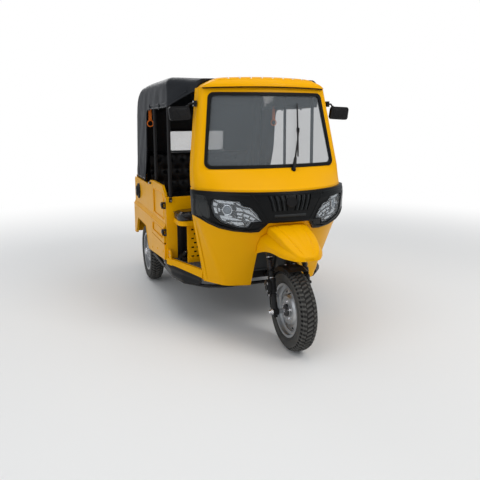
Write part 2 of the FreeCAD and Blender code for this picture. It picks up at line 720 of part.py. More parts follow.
def rear_side_panel():
    sill_y = DOOR_FRONT_Y - 8
    gap_y = DOOR_REAR_Y + DOOR_GAP
    gap_z = DOOR_SILL_Z - DOOR_GAP
    outline = [
        (sill_y, FLOOR_TOP - 15), (WHEELBASE - ARCH_FRONT_LOW - 72, ARCH_LOW_Z),
        (WHEELBASE - ARCH_FRONT_LOW, ARCH_LOW_Z), (WHEELBASE - ARCH_FRONT_HIGH, ARCH_TOP_Z),
        (WHEELBASE + ARCH_REAR_HIGH, ARCH_TOP_Z), (WHEELBASE + ARCH_REAR_LOW, SIDE_HEM_Z),
        (SIDE_REAR_Y, SIDE_HEM_Z), (SIDE_REAR_Y - 14, SIDE_TOP_Z - 20), (SIDE_REAR_Y - 40, SIDE_TOP_Z),
        (WHEELBASE - 340, SIDE_TOP_Z), (WHEELBASE - 440, DOOR_TOP_Z - 6),
        (gap_y, DOOR_TOP_Z - 2), (gap_y, gap_z), (sill_y, gap_z),
    ]
    return side_section(sill_y - 12, SIDE_REAR_Y).common(through_side(outline))


def rear_panel():
    half = SIDE_LOW_X - SIDE_THICKNESS - FIT_GAP
    high_half = SIDE_HIGH_X - SIDE_THICKNESS - FIT_GAP
    panel = prism_y([
        (-half, SIDE_HEM_Z), (half, SIDE_HEM_Z), (half, SWAGE_LOW_Z), (high_half, SWAGE_HIGH_Z),
        (high_half, REAR_PANEL_TOP), (-high_half, REAR_PANEL_TOP), (-high_half, SWAGE_HIGH_Z), (-half, SWAGE_LOW_Z),
    ], SIDE_REAR_Y - REAR_PANEL_THICKNESS, SIDE_REAR_Y)
    emboss = prism_y(rectangle(-430, 430, SIDE_HEM_Z + 74, REAR_PANEL_TOP - 77),
                     SIDE_REAR_Y - 7, SIDE_REAR_Y + 5, 30.0)
    return panel.cut(emboss)


def partition():
    panel = box(-SIDE_HIGH_X, SIDE_HIGH_X, PARTITION_Y, PARTITION_REAR_Y, FLOOR_TOP + FIT_GAP, PARTITION_TOP)
    emboss = prism_y(rectangle(-470, 470, FLOOR_TOP + 105, PARTITION_TOP - 52),
                     PARTITION_REAR_Y - 8, PARTITION_REAR_Y + 5, 30.0)
    return panel.cut(emboss)


# Floors

def front_floor():
    """The driver's floor sheet with the toe board folded up at its front."""
    inside = inside_nose()
    toe_part = box(-SIDE_LOW_X, SIDE_LOW_X, TOE_FOOT_Y - 10, NOSE_BACK_Y, FLOOR_LOW, FLOOR_TOP).common(inside)
    rear = prism_z([
        (-SILL_REAR_X, PARTITION_REAR_Y), (SILL_REAR_X, PARTITION_REAR_Y), (SILL_REAR_X, PARTITION_Y),
        (SILL_FRONT_X, SILL_FRONT_Y), (-SILL_FRONT_X, SILL_FRONT_Y), (-SILL_REAR_X, PARTITION_Y),
    ], FLOOR_LOW, FLOOR_TOP)
    bridge = box(-SILL_FRONT_X + 30, SILL_FRONT_X - 30, NOSE_BACK_Y - 20, SILL_FRONT_Y + 5, FLOOR_LOW, FLOOR_TOP)
    top_y, top_z = TOE_TOP
    toe_board = prism_x([
        (TOE_FOOT_Y, FLOOR_TOP - 4), (top_y, top_z), (top_y + FLOOR_SHEET, top_z), (TOE_FOOT_Y + FLOOR_SHEET, FLOOR_TOP - 4),
    ], -SIDE_LOW_X, SIDE_LOW_X).common(inside)
    return fuse([toe_part, rear, bridge, toe_board])


def sill():
    """The yellow edge of the driver's step, tapering in towards the leg shield."""
    def end(x, y, low, high):
        points = [V(x, y, low), V(x + SILL_WIDTH, y, low), V(x + SILL_WIDTH, y, high), V(x, y, high)]
        return Part.makePolygon(points + [points[0]])

    return Part.makeLoft([
        end(SILL_FRONT_X + FIT_GAP, SILL_FRONT_Y, FLOOR_LOW - 71, FLOOR_LOW - 3),
        end(SILL_REAR_X + FIT_GAP, PARTITION_Y - 1, FLOOR_LOW - 27, FLOOR_TOP + 10),
    ], True, True)


def dashboard():
    return box(-SIDE_LOW_X, SIDE_LOW_X, 0, DASH_BACK_Y, DASH_LOW, DASH_HIGH).common(inside_nose())


def rear_tub():
    """Passenger floor, step up to the deck over the axle, the wheel wells' inner walls and the bench box."""
    half = SIDE_LOW_X - SIDE_THICKNESS - FIT_GAP
    rear_y = SIDE_REAR_Y - REAR_PANEL_THICKNESS - FIT_GAP
    riser_y = RISER_Y - FLOOR_SHEET
    floor = box(-half, half, PARTITION_REAR_Y + FIT_GAP, RISER_Y, FLOOR_LOW, FLOOR_TOP)
    riser = box(-half, half, riser_y, RISER_Y, FLOOR_LOW, DECK_TOP)
    deck = box(-half, half, riser_y, rear_y, DECK_TOP - DECK_SHEET, DECK_TOP)
    walls = [box(s * WELL_WALL_X - WELL_WALL / 2, s * WELL_WALL_X + WELL_WALL / 2, riser_y + 6, rear_y,
                 FLOOR_LOW, DECK_TOP) for s in (-1, 1)]
    bench_base = box(-BENCH_HALF, BENCH_HALF, RISER_Y + 30, WHEELBASE + 330, DECK_TOP - 4, BENCH_BASE_TOP)
    return fuse([floor, riser, deck, bench_base] + walls)


# Frame

def steer_point(z):
    """The steering axis at a height."""
    return V(0, STEER_AXLE_OFFSET + (z - TYRE_RADIUS) * math.tan(RAKE), z)


STEER_WAY = V(0, math.sin(RAKE), math.cos(RAKE))


def along_steer(z, length, radius):
    return Part.makeCylinder(radius, length, steer_point(z), STEER_WAY)


def chassis_frame():
    """Two rails with cross members and outriggers, the backbone tube and the steering head."""
    pieces = []
    for s in (-1, 1):
        pieces.append(box(s * RAIL_X - RAIL_HALF, s * RAIL_X + RAIL_HALF, RAIL_FRONT_Y, SIDE_REAR_Y - 30,
                          RAIL_LOW, RAIL_TOP))
    for y in CROSS_MEMBERS_Y:
        pieces.append(box(-RAIL_X, RAIL_X, y, y + CROSS_WIDTH, RAIL_LOW + 8, RAIL_TOP))
    for y in OUTRIGGERS_Y:
        pieces.append(box(-OUTRIGGER_X, OUTRIGGER_X, y - OUTRIGGER_WIDTH / 2, y + OUTRIGGER_WIDTH / 2,
                          RAIL_LOW + 20, RAIL_TOP))
    top = steer_point(HEAD_LOW + 50)
    pieces.append(bent_tube([(0, RAIL_FRONT_Y + 30, RAIL_TOP - 42), (0, 360, RAIL_TOP - 18), (0, top.y, top.z)],
                            BACKBONE_RADIUS, 60.0))
    length = (HEAD_HIGH - HEAD_LOW) / STEER_WAY.z
    pieces.append(along_steer(HEAD_LOW, length, HEAD_RADIUS))
    bore = along_steer(HEAD_LOW - 20, length + 60, STEM_RADIUS + FIT_GAP)
    return fuse(pieces + [side_guard(), mirrored(side_guard())]).cut(bore)


def side_guard():
    """A bent bar along the left side below the floor, tied back to the outriggers."""
    front, rear = OUTRIGGERS_Y
    x = GUARD_BAR_X
    z = GUARD_BAR_Z
    bar = bent_tube([
        (0, 520, z), (x / 2, 520, z), (x - 170, 560, z), (x - 40, 720, z), (x, front - 29, z), (x, rear + 16, z),
    ], GUARD_BAR_RADIUS, GUARD_BAR_BEND)
    hangers = [rod((x, y, z), (x, y, RAIL_LOW + 30), GUARD_BAR_RADIUS - 4) for y in (front, rear)]
    return fuse([bar] + hangers)


# Wheels

def tyre(x, y):
    """A hollow tyre: rounded crown, bulged side walls and beads on the rim."""
    half = TYRE_WIDTH / 2.0
    bead = RIM_WIDTH / 2.0
    wall = TYRE_WALL

    def at(share):
        return BEAD_RADIUS + (TYRE_RADIUS - BEAD_RADIUS) * share

    outline = [
        (-bead, BEAD_RADIUS), (-bead, at(0.12)), (-half, at(0.44)), (-half + 1, at(0.65)), (-half + 9, at(0.86)),
        (-half + 27, TYRE_RADIUS - 1.5), (0, TYRE_RADIUS), (half - 27, TYRE_RADIUS - 1.5), (half - 9, at(0.86)),
        (half - 1, at(0.65)), (half, at(0.44)), (bead, at(0.12)), (bead, BEAD_RADIUS), (bead - wall, BEAD_RADIUS),
        (half - wall, at(0.46)), (half - wall - 8, at(0.74)), (0, TYRE_RADIUS - wall - 1),
        (-half + wall + 8, at(0.74)), (-half + wall, at(0.46)), (-bead + wall, BEAD_RADIUS),
    ]
    return spun_x(outline, x, y, TYRE_RADIUS)


def rim(x, y, outward):
    """A pressed steel rim with a dished disc and hub. outward is the side on which the disc bulges."""
    seat = BEAD_RADIUS - FIT_GAP
    bead = RIM_WIDTH / 2.0 + FIT_GAP
    lip = bead + RIM_SHEET
    under = seat - RIM_SHEET
    well = seat - 22
    barrel = spun_x([
        (-lip, under), (-lip, seat + RIM_LIP), (-bead, seat + RIM_LIP), (-bead, seat), (-26, seat), (-20, well),
        (20, well), (26, seat), (bead, seat), (bead, seat + RIM_LIP), (lip, seat + RIM_LIP), (lip, under),
        (30, under), (24, well - RIM_SHEET), (-24, well - RIM_SHEET), (-30, under),
    ], x, y, TYRE_RADIUS)
    s = outward
    hub = HUB_WIDTH / 2
    bore = AXLE_RADIUS + FIT_GAP
    disc = spun_x([
        (s * 10, well - 2), (s * 16, well - 2), (s * 24, well - 38), (s * 38, well - 54), (s * 40, HUB_RADIUS),
        (s * hub, HUB_RADIUS - 8), (s * hub, bore), (-s * hub, bore), (-s * hub, HUB_RADIUS + 34),
        (-s * 20, HUB_RADIUS + 34), (s * 20, HUB_RADIUS + 20), (s * 33, HUB_RADIUS + 24), (s * 33, well - 56),
        (s * 19, well - 42),
    ], x, y, TYRE_RADIUS)
    vents = []
    for i in range(RIM_VENTS):
        angle = 2 * math.pi * (i + 0.5) / RIM_VENTS
        centre = V(x - bead, y + RIM_VENT_CIRCLE * math.cos(angle), TYRE_RADIUS + RIM_VENT_CIRCLE * math.sin(angle))
        vents.append(Part.makeCylinder(RIM_VENT_RADIUS, 2 * bead, centre, X_AXIS))
    return fuse([barrel, disc]).cut(compound(vents))


# Steering

def leg_y(z):
    """The fork legs lean back from the axle."""
    return (z - TYRE_RADIUS) * LEG_LEAN


def turned_leg(outline, x):
    """Turn a (radius, z) outline about a fork leg's own line."""
    return turned([(radius, (z - TYRE_RADIUS) * LEG_WAY.Length) for radius, z in outline],
                  V(x, 0, TYRE_RADIUS), LEG_WAY)


def fork():
    """Two telescopic legs with their axle bosses, the crown and the stem."""
    foot = TYRE_RADIUS + 6
    pieces = []
    for x in (-FORK_HALF, FORK_HALF):
        pieces.append(turned_leg([
            (0, foot), (SLIDER_FOOT_RADIUS, foot), (SLIDER_FOOT_RADIUS, SLIDER_FOOT_Z),
            (SLIDER_RADIUS, SLIDER_FOOT_Z), (SLIDER_RADIUS, SLIDER_TOP_Z), (STANCHION_RADIUS, SLIDER_TOP_Z),
            (STANCHION_RADIUS, COLLAR_LOW_Z), (COLLAR_RADIUS, COLLAR_LOW_Z), (COLLAR_RADIUS, COLLAR_HIGH_Z),
            (STANCHION_RADIUS, COLLAR_HIGH_Z), (STANCHION_RADIUS, LEG_TOP_Z), (0, LEG_TOP_Z),
        ], x))
        pieces.append(Part.makeCylinder(FORK_BOSS_RADIUS, 2 * FORK_BOSS_HALF,
                                        V(x - FORK_BOSS_HALF, 0, TYRE_RADIUS), X_AXIS))
    crown_y = leg_y(LEG_TOP_Z)
    stem_y = steer_point(LEG_TOP_Z).y
    end = FORK_HALF + 20
    pieces.append(prism_z([
        (-end, crown_y - 22), (end, crown_y - 22), (end, crown_y + 22), (45, stem_y + 30), (-45, stem_y + 30),
        (-end, crown_y + 22),
    ], LEG_TOP_Z - CROWN_LOW, LEG_TOP_Z + CROWN_HIGH, 12.0))
    pieces.append(along_steer(LEG_TOP_Z, (BAR_Z - LEG_TOP_Z - 10) / STEER_WAY.z, STEM_RADIUS))
    axle_hole = Part.makeCylinder(AXLE_RADIUS + FIT_GAP, 4 * FORK_HALF, V(-2 * FORK_HALF, 0, TYRE_RADIUS), X_AXIS)
    return fuse(pieces).cut(axle_hole)


def ribbed(low, high, valley, crest, turns):
    """Outline of a coil seen as rings: radius and height."""
    step = (high - low) / turns
    points = []
    for i in range(turns):
        points.append((valley, low + i * step))
        points.append((crest, low + (i + 0.5) * step))
    return points + [(valley, high)]


def fork_springs():
    """The bare coils between each slider and its collar."""
    low = SLIDER_TOP_Z + 2
    high = COLLAR_LOW_Z - 1
    inner = STANCHION_RADIUS + 1
    rings = ribbed(low, high, FORK_SPRING_RADIUS - 5, FORK_SPRING_RADIUS, FORK_SPRING_TURNS)
    coil = turned_leg([(inner, low)] + rings + [(inner, high)], FORK_HALF)
    return both_sides(coil)


def front_axle():
    """The axle with its two nuts and the spacers beside the hub."""
    reach = FORK_HALF + FORK_BOSS_HALF + 18
    pieces = [Part.makeCylinder(AXLE_RADIUS, 2 * reach, V(-reach, 0, TYRE_RADIUS), X_AXIS)]
    corners = [math.radians(60 * i) for i in range(6)]
    nut_x = FORK_HALF + FORK_BOSS_HALF + FIT_GAP
    nut = face_of([V(nut_x, AXLE_NUT_RADIUS * math.cos(a), TYRE_RADIUS + AXLE_NUT_RADIUS * math.sin(a))
                   for a in corners]).extrude(V(AXLE_NUT_LENGTH, 0, 0))
    spacer_start = HUB_WIDTH / 2 + FIT_GAP
    spacer = Part.makeCylinder(AXLE_SPACER_RADIUS, FORK_HALF - FORK_BOSS_HALF - FIT_GAP - spacer_start,
                               V(spacer_start, 0, TYRE_RADIUS), X_AXIS)
    return fuse(pieces + [nut, mirrored(nut), spacer, mirrored(spacer)])


def handlebar():
    """A swept bar with two grips, clamped over the stem's end."""
    y = steer_point(BAR_Z).y
    end = V(BAR_HALF, y + BAR_SWEEP, BAR_Z + 5)
    knee = V(BAR_HALF - 120, y + BAR_SWEEP - 82, BAR_Z + 8)
    path = [end, knee, V(90, y + BAR_AHEAD, BAR_Z)]
    path += [V(-p.x, p.y, p.z) for p in reversed(path)]
    bar = bent_tube([tuple(p) for p in path], BAR_RADIUS, 40.0)
    clamp = box(-40, 40, y - 24, y + BAR_AHEAD + 16, BAR_Z - 16, BAR_Z + 16)
    socket = along_steer(BAR_Z - 40, 60, STEM_RADIUS + 10)
    grip = rod(tuple(end), tuple(end + (knee - end).normalize() * GRIP_LENGTH), GRIP_RADIUS)
    stem_room = along_steer(BAR_Z - 100, 90 / STEER_WAY.z + FIT_GAP, STEM_RADIUS + FIT_GAP)
    return fuse([bar, clamp, socket, grip, mirrored(grip)]).cut(stem_room)


def inner_mudguard():
    """The black guard that turns with the wheel, close over the tyre."""
    half = MUDGUARD_HALF
    skirt = MUDGUARD_RADIUS - 26
    crown = MUDGUARD_RADIUS + 9
    sheet = MUDGUARD_SHEET
    ring = spun_x([
        (-half, skirt), (-half, MUDGUARD_RADIUS), (-half + 18, crown), (half - 18, crown), (half, MUDGUARD_RADIUS),
        (half, skirt), (half - sheet, skirt), (half - sheet, MUDGUARD_RADIUS - 2), (half - 19, crown - sheet),
        (-half + 19, crown - sheet), (-half + sheet, MUDGUARD_RADIUS - 2), (-half + sheet, skirt),
    ], 0, 0, TYRE_RADIUS)
    reach = 2 * TYRE_RADIUS + 155
    arc = prism_x([(-60, TYRE_RADIUS), (-110, reach), (200, reach), (420, 430), (400, 330), (0, TYRE_RADIUS)],
                  -half - 10, half + 10)
    y = leg_y(LEG_TOP_Z)
    post = box(-14, 14, y - 30, y - 6, 2 * TYRE_RADIUS - 12, LEG_TOP_Z - CROWN_LOW - FIT_GAP)
    room = Part.makeCylinder(crown - sheet + 0.5, 4 * half, V(-2 * half, 0, TYRE_RADIUS), X_AXIS)
    return fuse([ring.common(arc), post.cut(room)])


# Rear running gear

def rear_axle():
    """Shafts in their casing, the gear case, and a seat for each spring."""
    inner = REAR_TRACK / 2 - HUB_WIDTH / 2 - FIT_GAP
    end = REAR_TRACK / 2 + HUB_WIDTH / 2 + 3
    shaft = Part.makeCylinder(AXLE_RADIUS, 2 * end, V(-end, WHEELBASE, TYRE_RADIUS), X_AXIS)
    casing = Part.makeCylinder(CASING_RADIUS, 2 * inner, V(-inner, WHEELBASE, TYRE_RADIUS), X_AXIS)
    case = spun_x([(-80, 0), (-80, 50), (-48, 92), (48, 92), (80, 50), (80, 0)], 0, WHEELBASE, TYRE_RADIUS)
    half = SPRING_SEAT_HALF
    seats = [box(x - half, x + half, WHEELBASE - half, WHEELBASE + half, TYRE_RADIUS, TYRE_RADIUS + SPRING_SEAT_HEIGHT)
             for x in (-SPRING_X, SPRING_X)]
    return fuse([shaft, casing, case] + seats)


def rear_spring():
    low = TYRE_RADIUS + SPRING_SEAT_HEIGHT + FIT_GAP
    high = DECK_TOP - DECK_SHEET - FIT_GAP
    rings = ribbed(low + 6, high - 6, SPRING_RADIUS - 9, SPRING_RADIUS - 2, SPRING_TURNS)
    outline = [(0, low), (SPRING_RADIUS, low), (SPRING_RADIUS, low + 6)] + rings
    outline += [(SPRING_RADIUS, high - 6), (SPRING_RADIUS, high), (0, high)]
    return turned(outline, V(SPRING_X, WHEELBASE, 0), Z_AXIS)


def trailing_arm():
    """From its pivot below the rail to a clamp around the axle casing."""
    pivot_y = WHEELBASE - 338
    x0 = ARM_X - ARM_HALF
    x1 = ARM_X + ARM_HALF
    arm = prism_x([
        (pivot_y, RAIL_LOW - 20), (pivot_y + 38, RAIL_LOW - 44), (WHEELBASE, TYRE_RADIUS - 26),
        (WHEELBASE, TYRE_RADIUS + 24), (pivot_y + 38, RAIL_LOW + 8), (pivot_y, RAIL_LOW + 8),
    ], x0, x1)
    clamp = Part.makeCylinder(ARM_CLAMP_RADIUS, x1 - x0 + 8, V(x0 - 4, WHEELBASE, TYRE_RADIUS), X_AXIS)
    bore = Part.makeCylinder(CASING_RADIUS + FIT_GAP, 200, V(x0 - 80, WHEELBASE, TYRE_RADIUS), X_AXIS)
    return fuse([arm, clamp]).cut(bore)


def engine():
    """The engine and gearbox as one block on its mount between the rails, with the exhaust."""
    body = box(-ENGINE_HALF, ENGINE_HALF, ENGINE_FRONT_Y, ENGINE_REAR_Y, ENGINE_LOW_Z, RAIL_LOW - 8)
    half = RAIL_X - RAIL_HALF - FIT_GAP
    mount = box(-half, half, ENGINE_FRONT_Y + 70, ENGINE_FRONT_Y + 130, ENGINE_LOW_Z + 50, RAIL_TOP)

    def along(y0, y1, radius):
        return rod((EXHAUST_X, y0, EXHAUST_Z), (EXHAUST_X, y1, EXHAUST_Z), radius)

    pipe_end = ENGINE_REAR_Y + 240
    return fuse([body, mount, along(ENGINE_REAR_Y - 10, pipe_end, PIPE_RADIUS),
                 along(pipe_end - 10, pipe_end + 90, SILENCER_RADIUS)])


# Seats

def seat_prism(grow, low, high):
    back = PARTITION_Y - FIT_GAP
    return prism_z([
        (-SEAT_HALF - grow, back), (-SEAT_HALF - grow, SEAT_FRONT_Y - grow),
        (SEAT_HALF + grow, SEAT_FRONT_Y - grow), (SEAT_HALF + grow, back),
    ], low, high, SEAT_ROUND)


def engine_cover():
    """Perforated sheet below the driver's seat, with a folded end at each side."""
    low = FLOOR_TOP + FIT_GAP
    high = SEAT_LOW - PAN_DEPTH - FIT_GAP
    front = box(-COVER_HALF, COVER_HALF, COVER_Y, COVER_Y + COVER_SHEET, low, high)
    fold = box(COVER_HALF - COVER_SHEET, COVER_HALF, COVER_Y, COVER_Y + COVER_FOLD, low, high)
    slots = []
    for row in range(SLOT_ROWS):
        stagger = SLOT_COLUMN_PITCH / 2 if row % 2 else 0.0
        z = low + 48 + row * SLOT_ROW_PITCH
        for column in range(SLOT_COLUMNS):
            x = COVER_HALF - 40 - column * SLOT_COLUMN_PITCH - stagger
            slots.append(box(x - SLOT_LENGTH / 2, x + SLOT_LENGTH / 2, COVER_Y - 5, COVER_Y + 20,
                             z - SLOT_HEIGHT / 2, z + SLOT_HEIGHT / 2))
    return fuse([front, fold, mirrored(fold)]).cut(both_sides(compound(slots)))


def seat_box():
    """The dark box behind the cover: a back plate, a plate at each side and two posts."""
    low = FLOOR_TOP + FIT_GAP
    high = SEAT_LOW - PAN_DEPTH - FIT_GAP
    back = PARTITION_Y - FIT_GAP
    plate_y = back - SEAT_BOX_SHEET
    side_x = COVER_HALF - 34.0
    pieces = [box(-SEAT_BOX_HALF, SEAT_BOX_HALF, plate_y, back, low, high)]
    for s in (-1, 1):
        x = s * side_x
        pieces.append(box(x - SEAT_BOX_SHEET / 2, x + SEAT_BOX_SHEET / 2, COVER_Y + COVER_SHEET + FIT_GAP, back,
                          low, high))
        x = s * (COVER_HALF + SEAT_POST / 2)
        pieces.append(box(x - SEAT_POST / 2, x + SEAT_POST / 2, plate_y - SEAT_POST, back, low, high))
    return fuse(pieces)


def bench_cushion():
    low = BENCH_BASE_TOP + FIT_GAP
    back = BENCH_BACK_Y - 4
    return prism_x([(RISER_Y, low), (back, low), (back, low + 100), (RISER_Y, low + 112)],
                   -BENCH_HALF, BENCH_HALF, BENCH_ROUND)


def bench_back():
    low = BENCH_BASE_TOP + FIT_GAP
    y = BENCH_BACK_Y
    return prism_x([(y, low), (y + 90, low), (y + 138, 1215), (y + 60, 1230), (y + 36, 1215)],
                   -BENCH_HALF, BENCH_HALF, BENCH_ROUND)


# Canopy

def canopy_back(inset):
    """Side view of the canopy's back, from its shoulder down: y and z."""
    return [
        (WHEELBASE + 345 - inset, CANOPY_TOP - 236), (WHEELBASE + 412 - inset, 1240),
        (WHEELBASE + 446 - inset, SIDE_TOP_Z + 22),
    ]


def canopy_form(inset, past_front):
    """The canopy's outer form, moved in by an inset, with its long roof edges rounded."""
    top = CANOPY_TOP - inset
    front = CANOPY_FRONT_Y - past_front
    back = WHEELBASE + 446 - inset
    half = CANOPY_HALF - inset
    front_half = CANOPY_FRONT_HALF - inset - CANOPY_TAPER * past_front
    side = prism_x([
        (front, CANOPY_TOP - 196), (front, top - 30), (CANOPY_TAPER_Y, top), (WHEELBASE - 330, top),
        (WHEELBASE + 20, top - 16), (WHEELBASE + 180 - inset / 2, top - 52), (WHEELBASE + 285 - inset, top - 120),
    ] + canopy_back(inset) + [
        (back, CANOPY_BOTTOM), (CANOPY_TAPER_Y, CANOPY_BOTTOM), (CANOPY_TAPER_Y, CANOPY_TOP - 196),
    ], -half, half)
    plan = prism_z([
        (front_half, front), (half, CANOPY_TAPER_Y), (half, REAR_END), (-half, REAR_END), (-half, CANOPY_TAPER_Y),
        (-front_half, front),
    ], CANOPY_BOTTOM - 100, CANOPY_TOP + 100)
    form = side.common(plan).removeSplitter()
    edges = []
    for edge in form.Edges:
        a = edge.Vertexes[0].Point
        b = edge.Vertexes[-1].Point
        high = max(a.z, b.z) > CANOPY_TOP - 150
        if a.x * b.x > 1.0 and high and abs(a.y - b.y) > 1.0:
            edges.append(edge)
    return form.makeFillet(CANOPY_ROUND - inset, edges)


def window_prism(inset):
    outline = rectangle(-WINDOW_HALF + inset, WINDOW_HALF - inset, WINDOW_LOW_Z + inset, WINDOW_HIGH_Z - inset)
    return prism_y(outline, WHEELBASE + 300, REAR_END, WINDOW_ROUND)


def canopy():
    skin = canopy_form(0.0, 0.0).cut(canopy_form(CANOPY_CLOTH, 80.0))
    wide = 2 * SIDE_LOW_X
    front = CANOPY_FRONT_Y - 106
    sides = prism_x([
        (front, CANOPY_BOTTOM - 100), (front, CANOPY_TOP - 101), (CANOPY_FRONT_Y, CANOPY_TOP - 112),
        (CANOPY_TAPER_Y, VALANCE_Z), (WHEELBASE - 300, VALANCE_Z), (WHEELBASE - 248, VALANCE_Z - 22),
        (WHEELBASE - 200, CANOPY_TOP - 536), (WHEELBASE - 50, SIDE_TOP_Z), (WHEELBASE - 40, CANOPY_BOTTOM - 100),
    ], -wide, wide)
    below = box(-wide, wide, front, REAR_END, CANOPY_BOTTOM - 200, SIDE_TOP_Z + 1)
    over_panel = box(-wide, wide, SIDE_REAR_Y - 60, REAR_END, CANOPY_BOTTOM - 200, REAR_PANEL_TOP + FIT_GAP)
    return skin.cut(sides).cut(below).cut(over_panel).cut(window_prism(0.0))


def rear_window():
    """The clear sheet, bent like the canopy's back, inside the window's edge."""
    outer = canopy_back(2.0)
    inner = canopy_back(6.0)
    sheet = prism_x(outer + inner[::-1], -WINDOW_HALF - 50, WINDOW_HALF + 50)
    return sheet.common(window_prism(FIT_GAP))


def canopy_frame():
    """Two door hoops and a rear hoop, tied by a rail along each side."""
    top = CANOPY_TOP - CANOPY_CLOTH - FIT_GAP - HOOP_RADIUS - 1
    knee = CANOPY_TOP - 196
    pieces = []
    for y, foot in ((B_POST_Y, PARTITION_TOP + FIT_GAP), (C_POST_Y, DOOR_TOP_Z)):
        pieces.append(bent_tube([
            (-POST_X, y, foot), (-POST_X, y, knee), (-POST_X + 4, y, top), (POST_X - 4, y, top),
            (POST_X, y, knee), (POST_X, y, foot),
        ], HOOP_RADIUS, 70.0))
    foot = DECK_TOP + FIT_GAP
    pieces.append(bent_tube([
        (-POST_X, REAR_HOOP_Y, foot), (-POST_X, REAR_HOOP_Y, top - 36), (POST_X, REAR_HOOP_Y, top - 36),
        (POST_X, REAR_HOOP_Y, foot),
    ], HOOP_RADIUS, 90.0))
    for x in (-POST_X, POST_X):
        pieces.append(rod((x, B_POST_Y, CANT_RAIL_Z), (x, REAR_HOOP_Y, CANT_RAIL_Z), CANT_RAIL_RADIUS))
    return fuse(pieces)


# Trim

MIRROR_FOOT_X = level_at(SCREEN_LEVELS, MIRROR_Z)[2] + 3.5


def mirror():
    """The left mirror: foot on the screen frame, arm and shell."""
    x = MIRROR_FOOT_X
    z = MIRROR_Z
    foot = box(x, x + 20, 500, 540, z - 20, z + 20)
    arm = bent_tube([(x + 10, 520, z), (x + 44, 520, z), (x + 64, 528, z - 28)], 6, 10)
    head = prism_y([(x + 36, z - 108), (x + 182, z - 116), (x + 194, z - 22), (x + 52, z - 16)],
                   MIRROR_Y, MIRROR_Y + MIRROR_THICKNESS, 20.0)
    return fuse([foot, arm, head])


def mirror_plate():
    x = MIRROR_FOOT_X
    z = MIRROR_Z
    y = MIRROR_Y + MIRROR_THICKNESS
    outline = [(x + 45, z - 101), (x + 174, z - 108), (x + 184, z - 29), (x + 60, z - 24)]
    return prism_y(outline, y + FIT_GAP, y + 3, 14.0)


def wiper():
    def before_screen(point, out):
        x, z = point
        return V(x, shell_y(SCREEN_LEVELS, x, z) - out, z)

    pivot = before_screen(WIPER_PIVOT, 22)
    joint = before_screen(WIPER_JOINT, 22)
    low = before_screen(WIPER_LOW, 12)
    high = before_screen(WIPER_HIGH, 12)
    boss = Part.makeCylinder(13, 30, pivot - V(0, 9, 0), Y_AXIS)
    whole = fuse([
        rod(pivot, joint, WIPER_RADIUS - 1), boss, rod(low, high, WIPER_RADIUS),
        rod(joint, (low + high) * 0.5 + V(4, 0, 0), WIPER_RADIUS - 1),
    ])
    return whole.cut(shell_volume(SCREEN_LEVELS, FIT_GAP))


def tail_lamp():
    y = SIDE_REAR_Y + FIT_GAP
    return prism_y(rectangle(SIDE_HIGH_X - 170, SIDE_HIGH_X - 50, 800, 880), y, y + 28, 16.0)


def rear_bumper():
    y = REAR_END - BUMPER_RADIUS
    front = SIDE_REAR_Y + 6
    half = BUMPER_HALF
    bar = bent_tube([(-half, front, BUMPER_Z), (-half, y, BUMPER_Z), (half, y, BUMPER_Z), (half, front, BUMPER_Z)],
                    BUMPER_RADIUS, BUMPER_BEND)
    stays = [box(s * RAIL_X - STAY_WIDTH / 2, s * RAIL_X + STAY_WIDTH / 2, SIDE_REAR_Y + FIT_GAP, y,
                 BUMPER_Z - STAY_HEIGHT / 2, BUMPER_Z + STAY_HEIGHT / 2) for s in (-1, 1)]
    return fuse([bar] + stays)


def fuel_cap():
    outline = [(0, 0), (0, 75), (-12, 72), (-20, 50), (-24, 48), (-24, 0)]
    return spun_x(outline, -SIDE_HIGH_X - FIT_GAP, FUEL_CAP_Y, FUEL_CAP_Z)


def door_latch():
    return Part.makeCylinder(9, 16, V(SIDE_HIGH_X + FIT_GAP, LATCH_Y, LATCH_Z), X_AXIS)


def grab_strap():
    ring_z = CANT_RAIL_Z - STRAP_DROP
    ring = Part.makeTorus(STRAP_RING_RADIUS, STRAP_RING_THICKNESS, V(STRAP_X, STRAP_Y, ring_z), Y_AXIS)
    strap = box(STRAP_X - STRAP_HALF, STRAP_X + STRAP_HALF, STRAP_Y - STRAP_CLOTH / 2, STRAP_Y + STRAP_CLOTH / 2,
                ring_z + STRAP_RING_RADIUS - 2, CANT_RAIL_Z - CANT_RAIL_RADIUS - FIT_GAP)
    return fuse([ring, strap])


def parking_brake():
    low = FLOOR_TOP + FIT_GAP
    foot = box(BRAKE_X - 10, BRAKE_X + 10, BRAKE_Y - 60, BRAKE_Y + 20, low, FLOOR_TOP + 30)
    return fuse([foot, rod((BRAKE_X, BRAKE_Y, FLOOR_TOP + 20), (BRAKE_X, BRAKE_Y - 100, FLOOR_TOP + 80), 8)])


def place(shape):
    moved = shape.copy()
    moved.translate(V(0, SHIFT_Y, 0))
    return moved


